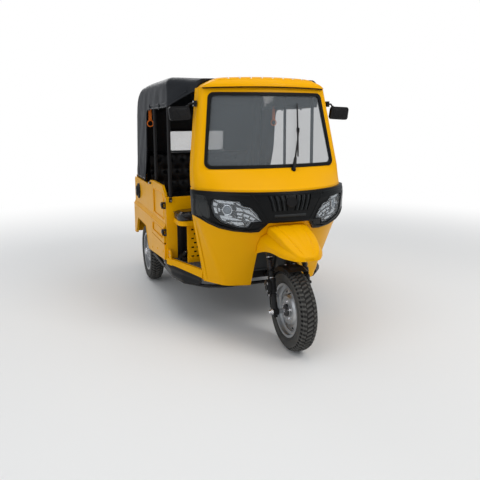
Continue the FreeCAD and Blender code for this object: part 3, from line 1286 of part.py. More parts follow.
def build():
    parts = {
        "chassis_frame": chassis_frame(),
        "front_floor": front_floor(),
        "floor_sills": both_sides(sill()),
        "nose_panel": nose_panel(),
        "windshield_frame": windshield_frame(),
        "windshield_seal": windshield_seal(),
        "windshield": windshield(),
        "wiper": wiper(),
        "front_mask": front_mask(),
        "headlamp_lenses": headlamp_lenses(),
        "headlamp_bowls": headlamp_bowls(),
        "front_fender": front_fender(),
        "roof_visor": roof_visor(),
        "dashboard": dashboard(),
        "partition": partition(),
        "engine_cover": engine_cover(),
        "seat_box": seat_box(),
        "seat_pan": seat_prism(PAN_LIP, SEAT_LOW - PAN_DEPTH, SEAT_LOW - FIT_GAP),
        "driver_seat": seat_prism(0.0, SEAT_LOW, SEAT_HIGH),
        "engine": engine(),
        "rear_tub": rear_tub(),
        "rear_side_panels": both_sides(rear_side_panel()),
        "rear_panel": rear_panel(),
        "tail_lamps": both_sides(tail_lamp()),
        "rear_bumper": rear_bumper(),
        "fuel_cap": fuel_cap(),
        "door_fittings": both_sides(compound([body_hinge_brackets(), door_latch()])),
        "bench_cushion": bench_cushion(),
        "bench_back": bench_back(),
        "canopy": canopy(),
        "canopy_frame": canopy_frame(),
        "rear_window": rear_window(),
        "mirrors": both_sides(mirror()),
        "mirror_glass": both_sides(mirror_plate()),
        "grab_straps": both_sides(grab_strap()),
        "parking_brake": parking_brake(),
        "rear_axle": rear_axle(),
        "rear_suspension": both_sides(compound([rear_spring(), trailing_arm()])),
        "fork": fork(),
        "fork_springs": fork_springs(),
        "front_axle": front_axle(),
        "handlebar": handlebar(),
        "inner_mudguard": inner_mudguard(),
        "front_rim": rim(0, 0, -1),
        "front_tyre": tyre(0, 0),
    }
    door = fuse([door_panel(), door_hinge_leaves()])
    for name, s, panel in (("left", 1, door), ("right", -1, mirrored(door))):
        parts["door_" + name] = panel
        parts["rear_rim_" + name] = rim(s * REAR_TRACK / 2, WHEELBASE, s)
        parts["rear_tyre_" + name] = tyre(s * REAR_TRACK / 2, WHEELBASE)
    return parts


os.makedirs("parts", exist_ok=True)
for name, shape in build().items():
    place(shape).exportStep("parts/" + name + ".step")
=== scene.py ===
import bpy
import bmesh
import json
import math
from mathutils import Matrix, Vector, noise

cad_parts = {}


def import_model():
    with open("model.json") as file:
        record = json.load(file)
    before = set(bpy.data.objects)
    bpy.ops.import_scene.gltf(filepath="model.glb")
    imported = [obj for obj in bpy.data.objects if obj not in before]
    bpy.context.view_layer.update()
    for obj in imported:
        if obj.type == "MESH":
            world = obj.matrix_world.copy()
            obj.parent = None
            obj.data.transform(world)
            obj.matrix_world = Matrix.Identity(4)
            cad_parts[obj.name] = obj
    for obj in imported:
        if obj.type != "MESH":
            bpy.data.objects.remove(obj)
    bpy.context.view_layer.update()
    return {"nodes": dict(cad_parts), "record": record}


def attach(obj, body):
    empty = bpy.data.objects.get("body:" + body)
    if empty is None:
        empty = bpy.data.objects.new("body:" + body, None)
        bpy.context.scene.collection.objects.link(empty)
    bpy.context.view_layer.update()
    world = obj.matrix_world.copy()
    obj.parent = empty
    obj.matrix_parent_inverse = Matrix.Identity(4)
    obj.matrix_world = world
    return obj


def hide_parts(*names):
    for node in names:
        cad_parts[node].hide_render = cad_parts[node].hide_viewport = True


# The dressed auto rickshaw, in metres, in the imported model's frame.
# X points to the vehicle's left, -Y is its front, Z is up, and the ground is Z = 0.

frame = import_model()
NODES = frame["nodes"]


# Camera: fitted to the photograph, whose optical axis lies above the middle of its frame
CAMERA_PLACE = Vector((-1.4845, -4.3199, 1.5099))
CAMERA_YAW = math.radians(19.46)
CAMERA_PITCH = math.radians(9.67)
CAMERA_ROLL = math.radians(-0.34)
CAMERA_LENS = 41.0
PHOTO_SIZE = 480.0
CAMERA_SHIFT_Y = -26.0 / PHOTO_SIZE
SENSOR_WIDTH = 36.0


def make_camera():
    data = bpy.data.cameras.new("photo_camera")
    camera = bpy.data.objects.new("photo_camera", data)
    bpy.context.scene.collection.objects.link(camera)
    data.sensor_width = SENSOR_WIDTH
    data.lens = CAMERA_LENS
    data.shift_y = CAMERA_SHIFT_Y
    data.clip_end = 100.0
    turn = (Matrix.Rotation(-CAMERA_YAW, 4, "Z")
            @ Matrix.Rotation(math.pi / 2 - CAMERA_PITCH, 4, "X")
            @ Matrix.Rotation(CAMERA_ROLL, 4, "Z"))
    camera.matrix_world = Matrix.Translation(CAMERA_PLACE) @ turn
    bpy.context.scene.camera = camera


# Materials

def new_material(name):
    material = bpy.data.materials.new(name)
    material.use_nodes = True
    tree = material.node_tree
    shader = tree.nodes["Principled BSDF"]
    return material, tree, shader


def settle(made, **values):
    """Set a node's own sockets, written with _ for a space, and its other settings."""
    for key, value in values.items():
        socket = key.replace("_", " ")
        if socket in made.inputs:
            made.inputs[socket].default_value = value
        else:
            setattr(made, key, value)
    return made


def node(tree, kind, **values):
    return settle(tree.nodes.new(kind), **values)


def coordinates(tree, scale):
    where = node(tree, "ShaderNodeTexCoord")
    mapping = node(tree, "ShaderNodeMapping", Scale=scale)
    tree.links.new(where.outputs["Object"], mapping.inputs["Vector"])
    return mapping.outputs["Vector"]


def noise_value(tree, scale, detail=4.0, rough=0.5, squeeze=(1, 1, 1)):
    texture = node(tree, "ShaderNodeTexNoise", Scale=scale, Detail=detail, Roughness=rough)
    tree.links.new(coordinates(tree, squeeze), texture.inputs["Vector"])
    return texture.outputs["Fac"]


def spread(tree, value, low, high):
    """Map a 0 to 1 value into a range."""
    ramp = node(tree, "ShaderNodeMapRange", To_Min=low, To_Max=high)
    tree.links.new(value, ramp.inputs["Value"])
    return ramp.outputs["Result"]


def mix_colour(tree, value, first, second):
    mix = node(tree, "ShaderNodeMix", data_type="RGBA")
    mix.inputs[6].default_value = (*first, 1.0)
    mix.inputs[7].default_value = (*second, 1.0)
    tree.links.new(value, mix.inputs[0])
    return mix.outputs[2]


def bump(tree, value, strength, distance, normal=None):
    made = node(tree, "ShaderNodeBump", Strength=strength, Distance=distance)
    tree.links.new(value, made.inputs["Height"])
    if normal is not None:
        tree.links.new(normal, made.inputs["Normal"])
    return made.outputs["Normal"]


def paint(name, colour, shade, rough, coat, specular):
    """Sprayed sheet metal: slight colour drift, orange peel and a clear coat."""
    material, tree, shader = new_material(name)
    drift = noise_value(tree, 3.0, 3.0)
    colour_out = mix_colour(tree, spread(tree, drift, 0.0, 1.0), shade, colour)
    tree.links.new(colour_out, shader.inputs["Base Color"])
    fine = noise_value(tree, 9.0, 5.0)
    tree.links.new(spread(tree, fine, rough - 0.06, rough + 0.1), shader.inputs["Roughness"])
    peel = noise_value(tree, 160.0, 2.0)
    tree.links.new(bump(tree, peel, 0.015, 0.001), shader.inputs["Normal"])
    settle(shader, Specular_IOR_Level=specular, Coat_Weight=coat, Coat_Roughness=0.1)
    return material


def grained(name, colour, shade, rough, grain=900.0, depth=0.0004, specular=0.2):
    """Moulded plastic, rubber or powder coat with a fine grain."""
    material, tree, shader = new_material(name)
    drift = noise_value(tree, 6.0, 4.0)
    tree.links.new(mix_colour(tree, drift, shade, colour), shader.inputs["Base Color"])
    fine = noise_value(tree, grain, 2.0)
    tree.links.new(spread(tree, noise_value(tree, 14.0), rough - 0.08, rough + 0.1),
                   shader.inputs["Roughness"])
    tree.links.new(bump(tree, fine, 0.35, depth), shader.inputs["Normal"])
    settle(shader, Specular_IOR_Level=specular)
    return material


TREAD_ROUGH = 0.72


def dusty_rubber_with_painted_light(name, low, high):
    """Tread rubber: painted shade keeps the grooves dark, and the edges of the lugs are lighter, partly with
    dust and partly as a painted highlight.
    """
    material, tree, shader = new_material(name)
    # Pointiness paints shade into the concave grooves and a highlight onto the convex lug edges
    shape = node(tree, "ShaderNodeNewGeometry")
    edge = node(tree, "ShaderNodeMapRange", From_Min=0.44, From_Max=0.58)
    tree.links.new(shape.outputs["Pointiness"], edge.inputs["Value"])
    drift = noise_value(tree, 22.0, 5.0)
    # This share of the lighter colour is partly dust and partly painted light, mixed by the drift
    dust = node(tree, "ShaderNodeMath", operation="MULTIPLY")
    tree.links.new(edge.outputs["Result"], dust.inputs[0])
    tree.links.new(spread(tree, drift, 0.35, 1.4), dust.inputs[1])
    tree.links.new(mix_colour(tree, dust.outputs[0], low, high), shader.inputs["Base Color"])
    tree.links.new(spread(tree, drift, TREAD_ROUGH - 0.08, TREAD_ROUGH + 0.12), shader.inputs["Roughness"])
    fine = noise_value(tree, 500.0, 2.0)
    tree.links.new(bump(tree, fine, 0.35, 0.0006), shader.inputs["Normal"])
    settle(shader, Specular_IOR_Level=0.15)
    return material


def metal(name, colour, shade, rough):
    """Bare or plated metal, a little blotched."""
    material, tree, shader = new_material(name)
    drift = noise_value(tree, 30.0, 5.0, 0.6)
    tree.links.new(mix_colour(tree, drift, shade, colour), shader.inputs["Base Color"])
    tree.links.new(spread(tree, drift, rough - 0.08, rough + 0.12), shader.inputs["Roughness"])
    settle(shader, Metallic=1.0)
    return material


def vinyl(name, colour, shade, rough, specular=0.28):
    """Coated canvas: weave seen through a soft glossy coat, and long shallow creases."""
    material, tree, shader = new_material(name)
    drift = noise_value(tree, 5.0, 4.0)
    tree.links.new(mix_colour(tree, drift, shade, colour), shader.inputs["Base Color"])
    tree.links.new(spread(tree, noise_value(tree, 11.0), rough - 0.1, rough + 0.12),
                   shader.inputs["Roughness"])
    creases = noise_value(tree, 9.0, 3.0, 0.5, (1.0, 0.5, 1.4))
    weave = node(tree, "ShaderNodeTexVoronoi", Scale=700.0)
    tree.links.new(coordinates(tree, (1, 1, 1)), weave.inputs["Vector"])
    soft = bump(tree, creases, 0.4, 0.010)
    tree.links.new(bump(tree, weave.outputs["Distance"], 0.15, 0.0006, soft), shader.inputs["Normal"])
    settle(shader, Specular_IOR_Level=specular)
    return material


def glass(name, colour, rough, alpha):
    """Thin glass: mostly seen through, with a clear reflection and a light grey film that is partly dust and
    partly a painted reflection.
    """
    material, tree, shader = new_material(name)
    settle(shader, Base_Color=(*colour, 1.0), IOR=1.5, Specular_IOR_Level=0.5)
    # This noise sets the grey film's roughness and opacity: partly dust, partly a painted reflection that
    # greys the glass
    dust = noise_value(tree, 4.0, 5.0)
    tree.links.new(spread(tree, dust, rough, rough + 0.06), shader.inputs["Roughness"])
    tree.links.new(spread(tree, dust, alpha - 0.04, alpha + 0.06), shader.inputs["Alpha"])
    return material


MATERIALS = {
    "yellow": paint("yellow_sheet_paint", (0.87, 0.42, 0.0), (0.81, 0.38, 0.0), 0.30, 0.02, 0.06),
    "black_steel": paint("black_frame_paint", (0.006, 0.006, 0.007), (0.012, 0.0115, 0.011), 0.40, 0.05,
                         0.25),
    "mask": grained("mask_plastic", (0.0022, 0.0027, 0.0030), (0.0045, 0.0052, 0.0056), 0.34, specular=0.16),
    "grey_trim": grained("grey_trim_plastic", (0.012, 0.015, 0.017), (0.018, 0.021, 0.023), 0.34,
                         specular=0.3),
    "trim": grained("trim_plastic", (0.005, 0.005, 0.0056), (0.010, 0.010, 0.0105), 0.46),
    "rubber": grained("seal_rubber", (0.004, 0.004, 0.004), (0.008, 0.008, 0.008), 0.55, specular=0.15),
    # The tyre's lighter second colour is partly dust and partly a painted highlight on the lug edges
    "tyre": dusty_rubber_with_painted_light("tyre_rubber", (0.008, 0.008, 0.008), (0.130, 0.126, 0.118)),
    "canopy": vinyl("canopy_vinyl", (0.0090, 0.0105, 0.0135), (0.0150, 0.0172, 0.0210), 0.42, 0.22),
    "seat": vinyl("seat_vinyl", (0.0050, 0.0058, 0.0075), (0.0100, 0.0112, 0.0135), 0.30, 0.35),
    "driver_vinyl": vinyl("driver_seat_vinyl", (0.0060, 0.0068, 0.0080), (0.0110, 0.0120, 0.0140), 0.18,
                          0.55),
    "seat_piping": vinyl("seat_piping_vinyl", (0.010, 0.011, 0.013), (0.018, 0.019, 0.022), 0.34),
    "silver": metal("rim_silver", (0.50, 0.51, 0.52), (0.38, 0.39, 0.40), 0.38),
    "chrome": metal("bright_plate", (0.75, 0.75, 0.76), (0.6, 0.6, 0.62), 0.18),
    "reflector": metal("lamp_reflector", (0.72, 0.75, 0.78), (0.34, 0.37, 0.40), 0.16),
    "dark_steel": metal("dark_spring_steel", (0.10, 0.10, 0.105), (0.05, 0.05, 0.052), 0.34),
    "iron": metal("cast_iron", (0.12, 0.12, 0.125), (0.06, 0.06, 0.062), 0.6),
    "mat": grained("floor_mat", (0.060, 0.068, 0.074), (0.095, 0.103, 0.110), 0.6, 300.0, 0.0006),
    # The screen's grey film, about a third opaque, is partly dust and partly a painted reflection
    "screen": glass("screen_glass", (0.17, 0.19, 0.205), 0.02, 0.36),
    "clear": glass("clear_window", (0.40, 0.43, 0.45), 0.1, 0.3),
    "lens": glass("lamp_lens", (0.60, 0.64, 0.67), 0.02, 0.08),
    "smoke": glass("smoked_lens", (0.020, 0.022, 0.022), 0.05, 0.80),
    "lamp_black": grained("lamp_housing", (0.004, 0.0042, 0.0045), (0.010, 0.0105, 0.011), 0.25, 200.0,
                          0.0002, 0.3),
    "projector": glass("projector_lens", (0.26, 0.30, 0.34), 0.02, 0.62),
    "red": grained("red_lens", (0.45, 0.008, 0.006), (0.35, 0.006, 0.005), 0.2, 60.0, 0.001, 0.4),
    "amber": grained("amber_lens", (0.75, 0.18, 0.01), (0.62, 0.13, 0.008), 0.2, 60.0, 0.001, 0.4),
    "mirror": metal("mirror_face", (0.85, 0.86, 0.87), (0.8, 0.8, 0.82), 0.06),
    "orange": grained("orange_webbing", (0.80, 0.20, 0.02), (0.66, 0.13, 0.012), 0.7, 700.0, 0.001),
    "dial": grained("dial_face", (0.60, 0.61, 0.62), (0.52, 0.53, 0.54), 0.4),
}
# The materials of each slot, with the one that its CAD nodes take first
SLOT_KEYS = {
    "yellow_paint": ("yellow",), "black_paint": ("black_steel",), "black_vinyl": ("canopy",),
    "black_plastic": ("trim", "mask", "grey_trim", "lamp_black", "dial"),
    "seat_vinyl": ("seat", "seat_piping", "driver_vinyl"), "silver_steel": ("silver", "dark_steel"),
    "chrome_trim": ("chrome", "reflector"), "cast_engine": ("iron",), "tyre_rubber": ("tyre",),
    "seal_rubber": ("rubber",), "floor_mat": ("mat",), "screen_glass": ("screen",),
    "clear_window": ("clear",),
    "lamp_lens": ("lens", "projector", "smoke"), "red_lens": ("red", "amber"), "mirror_face": ("mirror",),
    "orange_strap": ("orange",),
}
NODE_MATERIALS = {"front_mask": "mask", "door_fittings": "black_steel", "headlamp_bowls": "reflector",
                  "fork_springs": "dark_steel"}


def dress_cad_nodes():
    slots = {row["node"]: row["material_slot"] for row in frame["record"]["subparts"]}
    for name, obj in NODES.items():
        key = NODE_MATERIALS.get(name, SLOT_KEYS[slots[name]][0])
        if not obj.material_slots:
            obj.data.materials.append(MATERIALS[key])
        for slot in obj.material_slots:
            slot.material = MATERIALS[key]
        bevel = obj.modifiers.new("soft_edges", "BEVEL")
        bevel.width = 0.0018
        bevel.segments = 2
        bevel.limit_method = "ANGLE"
        bevel.angle_limit = math.radians(35)


# Shapes

# Part sizes that the pieces share with the solids, from the front axle, in metres
AXLE_Y = -1.1575
WHEELBASE = 2.0
TYRE_RADIUS = 0.2725
TYRE_WIDTH = 0.125
REAR_TRACK = 1.12
CANOPY_TOP = 1.836
CANOPY_HALF = 0.622
MASK_PROUD = 0.022
SIDE_LOW_X = 0.655
SIDE_HIGH_X = 0.640
SWAGE_LOW_Z = 0.690
SWAGE_HIGH_Z = 0.720
# Cab shell levels: z, flange x, corner x, front y, nose radius, corner radius, back y
NOSE_LEVELS = (
    (0.360, 0.448, 0.380, 0.325, 0.900, 0.100, 0.556),
    (0.860, 0.545, 0.545, 0.065, 0.630, 0.120, 0.480),
    (1.000, 0.550, 0.550, 0.055, 0.630, 0.120, 0.480),
    (1.066, 0.552, 0.552, 0.080, 0.640, 0.120, 0.485),
)
SCREEN_LEVELS = (
    (1.0663, 0.552, 0.552, 0.080, 0.640, 0.120, 0.485),
    (1.190, 0.552, 0.552, 0.285, 1.300, 0.070, 0.500),
    (1.735, 0.478, 0.478, 0.420, 1.350, 0.060, 0.590),
)


def at(x, y, z):
    """A point whose y is given from the front axle."""
    return Vector((x, y + AXLE_Y, z))


def level_at(levels, z):
    """The cab's section at a height, between the two levels around it."""
    for low, high in zip(levels, levels[1:]):
        if low[0] <= z <= high[0]:
            t = (z - low[0]) / (high[0] - low[0])
            return tuple(a + (b - a) * t for a, b in zip(low, high))
    return levels[-1] if z > levels[-1][0] else levels[0]


def on_shell(levels, x, z, out=0.0):
    """The point of the cab's outer face at x and z, moved out by a distance."""
    _, _, corner, front, nose, corner_round, _ = level_at(levels, z)
    centre_x = corner - corner_round
    nose_y = front + nose
    centre_y = nose_y - math.sqrt((nose - corner_round) ** 2 - centre_x ** 2)
    if abs(x) <= centre_x * (nose + out) / (nose - corner_round):
        return at(x, nose_y - math.sqrt((nose + out) ** 2 - x ** 2), z)
    return at(x, centre_y - math.sqrt(max((corner_round + out) ** 2 - (abs(x) - centre_x) ** 2, 0.0)), z)


def smooth_step(low, high, value):
    """A soft rise from 0 at low to 1 at high, or a fall where low is the larger."""
    t = min(max((value - low) / (high - low), 0.0), 1.0)
    return t * t * (3.0 - 2.0 * t)


def set_piece(name, data, material, body):
    """A piece in the scene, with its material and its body."""
    piece = bpy.data.objects.new(name, data)
    bpy.context.scene.collection.objects.link(piece)
    data.materials.append(MATERIALS[material])
    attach(piece, body)
    return piece


def mesh_piece(name, bm, material, body="body", bevel=0.0, thickness=0.0, sharp=35, join=1e-5):
    """A piece from a bmesh, with welded points, smooth faces and sharp edges above an angle."""
    bmesh.ops.remove_doubles(bm, verts=bm.verts, dist=join)
    bmesh.ops.recalc_face_normals(bm, faces=bm.faces)
    mesh = bpy.data.meshes.new(name)
    bm.to_mesh(mesh)
    bm.free()
    mesh.shade_smooth()
    mesh.set_sharp_from_angle(angle=math.radians(sharp))
    piece = set_piece(name, mesh, material, body)
    if thickness:
        shell = piece.modifiers.new("thickness", "SOLIDIFY")
        shell.thickness = thickness
        shell.offset = 0.0
    if bevel:
        edge = piece.modifiers.new("edges", "BEVEL")
        edge.width = bevel
        edge.segments = 2
        edge.limit_method = "ANGLE"
    return piece


def skin(bm, rings, closed=True, caps=True):
    """Faces from each ring of points to the next."""
    rows = [[bm.verts.new(point) for point in ring] for ring in rings]
    count = len(rows[0])
    for a, b in zip(rows, rows[1:]):
        for i in range(count if closed else count - 1):
            j = (i + 1) % count
            bm.faces.new((a[i], a[j], b[j], b[i]))
    if caps:
        bm.faces.new(rows[0][::-1])
        bm.faces.new(rows[-1])


def open_skin(bm, rings, closed=False):
    skin(bm, rings, closed, caps=False)


def turned(bm, outline, origin, axis, steps):
    """A shape turned about an axis from (radius, along) points."""
    axis = Vector(axis).normalized()
    side = axis.orthogonal().normalized()
    other = axis.cross(side)
    rings = []
    for i in range(steps + 1):
        angle = 2 * math.pi * (i % steps) / steps
        out = side * math.cos(angle) + other * math.sin(angle)
        rings.append([origin + axis * along + out * radius for radius, along in outline])
    open_skin(bm, rings)


def bolt(bm, origin, axis, radius, height):
    """A hexagon head with a chamfered top on a round washer."""
    turned(bm, [(0, 0), (radius * 1.5, 0), (radius * 1.5, height * 0.25), (0, height * 0.25)], origin, axis,
           20)
    turned(bm, [(radius, height * 0.2), (radius, height * 0.85), (radius * 0.82, height), (0, height)],
           origin, axis, 6)


def block(bm, low, high):
    """A box of faces between two corners."""
    points = [[(low[0], low[1], z), (high[0], low[1], z), (high[0], high[1], z), (low[0], high[1], z)]
              for z in (low[2], high[2])]
    skin(bm, points)


def side_block(bm, side, low, high):
    """A block on one side, whose corners are given from the front axle for the left side."""
    near, far = sorted((side * low[0], side * high[0]))
    block(bm, at(near, *low[1:]), at(far, *high[1:]))


def tubes(name, paths, radius, material, body="body", cyclic=False):
    """Round bars, wires or piping, each along a smooth line."""
    curve = bpy.data.curves.new(name, "CURVE")
    curve.dimensions = "3D"
    curve.bevel_depth = radius
    curve.bevel_resolution = 3
    curve.use_fill_caps = True
    curve.resolution_u = 6
    for path in paths:
        spline = curve.splines.new("NURBS")
        spline.points.add(len(path) - 1)
        for point, place in zip(spline.points, path):
            point.co = (*place, 1.0)
        spline.use_cyclic_u = cyclic
        spline.use_endpoint_u = not cyclic
        spline.order_u = min(3, len(path))
    set_piece(name, curve, material, body)


# Fender and roof visor

# Fender stations: y, then x and z of the lower edge, side crease, step foot, step top and top crease, then
# the middle's z
FENDER_STATIONS = (
    (-0.236, (0.034, 0.660), (0.0335, 0.666), (0.031, 0.672), (0.028, 0.679), (0.016, 0.682), 0.684),
    (-0.222, (0.072, 0.658), (0.071, 0.669), (0.064, 0.681), (0.060, 0.690), (0.033, 0.6945), 0.697),
    (-0.190, (0.103, 0.662), (0.102, 0.678), (0.091, 0.697), (0.086, 0.712), (0.047, 0.722), 0.725),
    (-0.128, (0.142, 0.668), (0.141, 0.690), (0.117, 0.720), (0.111, 0.746), (0.061, 0.758), 0.7605),
    (-0.040, (0.162, 0.678), (0.161, 0.703), (0.127, 0.740), (0.124, 0.782), (0.074, 0.796), 0.7985),
    (0.060, (0.172, 0.668), (0.170, 0.722), (0.134, 0.762), (0.132, 0.810), (0.088, 0.824), 0.8265),
    (0.160, (0.178, 0.640), (0.174, 0.742), (0.138, 0.782), (0.137, 0.832), (0.094, 0.846), 0.8485),
    (0.250, (0.184, 0.604), (0.178, 0.756), (0.142, 0.796), (0.140, 0.846), (0.096, 0.860), 0.8625),
)


def spline_at(values, t):
    """A smooth value at t along a row of vectors."""
    i = min(int(t), len(values) - 2)
    f = t - i
    before = values[max(i - 1, 0)]
    after = values[min(i + 2, len(values) - 1)]
    a, b = values[i], values[i + 1]
    return (a * 2 + (b - before) * f + (before * 2 - a * 5 + b * 4 - after) * f * f
            + (a * 3 - before - b * 3 + after) * f ** 3) / 2


def fender_lines():
    """Lines along the fender through its section's corners."""
    right, left = [[[Vector((side * station[k][0], station[0], station[k][1]))
                     for station in FENDER_STATIONS]
                    for k in range(1, 6)] for side in (-1, 1)]
    middle = [Vector((0.0, station[0], station[6])) for station in FENDER_STATIONS]
    return right + [middle] + left[::-1]


def behind_nose(point):
    """Whether a point of the fender lies inside the cab's nose."""
    return at(*point).y > on_shell(NOSE_LEVELS, point.x, point.z).y


FENDER_STEPS = 44
NARROWINGS = 18


FENDER_BOW = 0.045
FENDER_GROOVE = 0.0028
SHARES = (0.0, 0.08, 0.3, 0.5, 0.7, 0.92)


def fender_section(lines, t):
    """Points across the fender at t, closer together beside each crease, with bowed faces between them."""
    corners = [spline_at(line, t) for line in lines]
    points = []
    for a, b in zip(corners, corners[1:]):
        bow = Vector((-(b - a).z, 0.0, (b - a).x)) * FENDER_BOW
        if bow.z < 0:
            bow = -bow
        for share in SHARES:
            points.append(a.lerp(b, share) + bow * (4 * share * (1 - share)))
    points.append(corners[-1])
    groove = FENDER_GROOVE * smooth_step(0.6, 1.6, t)
    for corner in (4, 6):
        points[corner * len(SHARES)] -= Vector((0, 0, groove))
    return points


def make_fender():
    lines = fender_lines()
    last = len(FENDER_STATIONS) - 1
    steps = FENDER_STEPS
    sections = [fender_section(lines, last * i / steps) for i in range(steps + 1)]
    grid = []
    for column in zip(*sections):
        end = next((i for i, point in enumerate(column) if behind_nose(point)), len(column) - 1)
        reach = float(end)
        if behind_nose(column[end]):
            low, high = column[end - 1], column[end]
            for _ in range(NARROWINGS):
                middle = low.lerp(high, 0.5)
                if behind_nose(middle):
                    high = middle
                else:
                    low = middle
            run = max((column[end] - column[end - 1]).length, 1e-9)
            reach = end - 1 + (low - column[end - 1]).length / run
        row = []
        for k in range(steps + 1):
            place = reach * k / steps
            i = min(int(place), len(column) - 2)
            row.append(column[i].lerp(column[i + 1], place - i))
        grid.append(row)
    bm = bmesh.new()
    front = [Vector((row[0].x * 0.97, row[0].y - 0.0015, 0.6595 + 0.15 * (row[0].z - 0.661)))
             for row in grid]
    rings = [[at(*p) for p in front]]
    rings += [[at(*row[k]) for row in grid] for k in range(steps + 1)]
    open_skin(bm, rings)
    fender = mesh_piece("front_fender_skin", bm, "yellow", thickness=0.004, sharp=50)
    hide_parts("front_fender")
    edge = [[at(*row[k]) + Vector((0, 0, 0.001)) for k in range(0, steps + 1, 2)]
            for row in (grid[0], grid[-1])]
    tip = [at(*grid[j][0]) + Vector((0, -0.001, 0.0)) for j in (0, 3, 6)]
    flat_tip = [Vector((p.x, p.y, 0.661)) for p in tip]
    mirrored_tip = [Vector((-p.x, p.y, p.z)) for p in flat_tip]
    tubes("front_fender_roll", edge + [flat_tip + mirrored_tip[::-1]], 0.0034, "yellow")


# Visor rows from its lip to its roof: height over the screen frame, narrower by, further back by
VISOR_ROWS = (
    (0.0004, 0.018, -0.0250), (0.003, 0.0175, -0.0256), (0.012, 0.024, -0.0240), (0.022, 0.038, -0.0190),
    (0.032, 0.058, -0.0110), (0.042, 0.080, 0.0000), (0.051, 0.100, 0.0130), (0.058, 0.116, 0.0280),
    (0.064, 0.132, 0.0480), (0.068, 0.150, 0.0750),
)
VISOR_BACK_Y = 0.600
VISOR_BOW = 0.007
ROOF_SCALES = (0.93, 0.75, 0.5, 0.25, 0.004)


def visor_ring(row, scale=1.0):
    """The visor's outline in plan at one row, from its left back corner round to its right one."""
    up, narrower, back = row
    z, _, corner, front, nose, corner_round, _ = SCREEN_LEVELS[-1]
    corner -= narrower
    front += back
    centre_x = corner - corner_round
    nose_y = front + nose
    centre_y = nose_y - math.sqrt((nose - corner_round) ** 2 - centre_x ** 2)
    start = math.asin(centre_x / (nose - corner_round))
    half = [(corner, VISOR_BACK_Y + (centre_y - VISOR_BACK_Y) * i / 4) for i in range(5)]
    for i in range(1, 9):
        angle = (math.pi / 2 - start) * i / 8
        half.append((centre_x + corner_round * math.cos(angle), centre_y - corner_round * math.sin(angle)))
    for i in range(1, 17):
        angle = start * (1 - i / 16)
        half.append((nose * math.sin(angle), nose_y - nose * math.cos(angle)))
    points = half + [(-x, y) for x, y in half[-2::-1]]
    return [at(x * scale, VISOR_BACK_Y + (y - VISOR_BACK_Y) * scale,
               z + up + VISOR_BOW * (1 - (x / corner) ** 2))
            for x, y in points]


def make_visor():
    bm = bmesh.new()
    rings = [visor_ring(row) for row in VISOR_ROWS]
    rings += [visor_ring(VISOR_ROWS[-1], scale) for scale in ROOF_SCALES]
    for ring in rings[-len(ROOF_SCALES):]:
        for point in ring:
            point.z += 0.0005
    open_skin(bm, rings)
    visor = mesh_piece("roof_visor_skin", bm, "yellow", thickness=0.0035, sharp=50)
    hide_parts("roof_visor")
    tubes("roof_visor_lip", [visor_ring(VISOR_ROWS[1])], 0.0042, "yellow")
    crease = [p + Vector((0, 0, 0.0012)) for p in visor_ring(VISOR_ROWS[6])[4:-4]]
    tubes("roof_visor_crease", [crease], 0.0030, "yellow")
    bm = bmesh.new()
    row = visor_ring(VISOR_ROWS[7])
    middle = len(row) // 2
    for k in (-14, -10, -6, -2, 2, 6, 10, 14):
        turned(bm, [(0.0075, -0.002), (0.007, 0.002), (0.0045, 0.0045), (0, 0.0054)], row[middle + k],
               (0, -0.80, 0.60), 14)
    mesh_piece("roof_visor_rivets", bm, "chrome")
    # A black rubber seal under the lip, which also stands in for the lip's shadow as a painted dark line
    inner = [Vector((p.x * 0.990, p.y + 0.006, p.z - 0.0035)) for p in visor_ring(VISOR_ROWS[0])[4:-4]]
    tubes("roof_visor_seal_and_shadow_line", [inner], 0.005, "rubber")


# Canopy: one sheet over the hoops, down both sides and down the back

VALANCE_Z = CANOPY_TOP - 0.224
SIDE_TOP_Z = 0.957
ROOF_ROUND = 0.055
CANOPY_FRONT_Y = 0.608
CANOPY_FRONT_HALF = 0.472
TAPER_Y = 0.900
HOOPS_Y = (CANOPY_FRONT_Y, 0.944, 1.49, 2.08)


def sided(point, side):
    """A point, or its mirror image where side is -1."""
    return Vector((side * point.x, point.y, point.z))


def canopy_half(y):
    """The canopy's half width, which narrows over the driver's door to the visor."""
    share = min(max((y - CANOPY_FRONT_Y) / (TAPER_Y - CANOPY_FRONT_Y), 0.0), 1.0)
    return CANOPY_FRONT_HALF + (CANOPY_HALF - CANOPY_FRONT_HALF) * share - 0.002


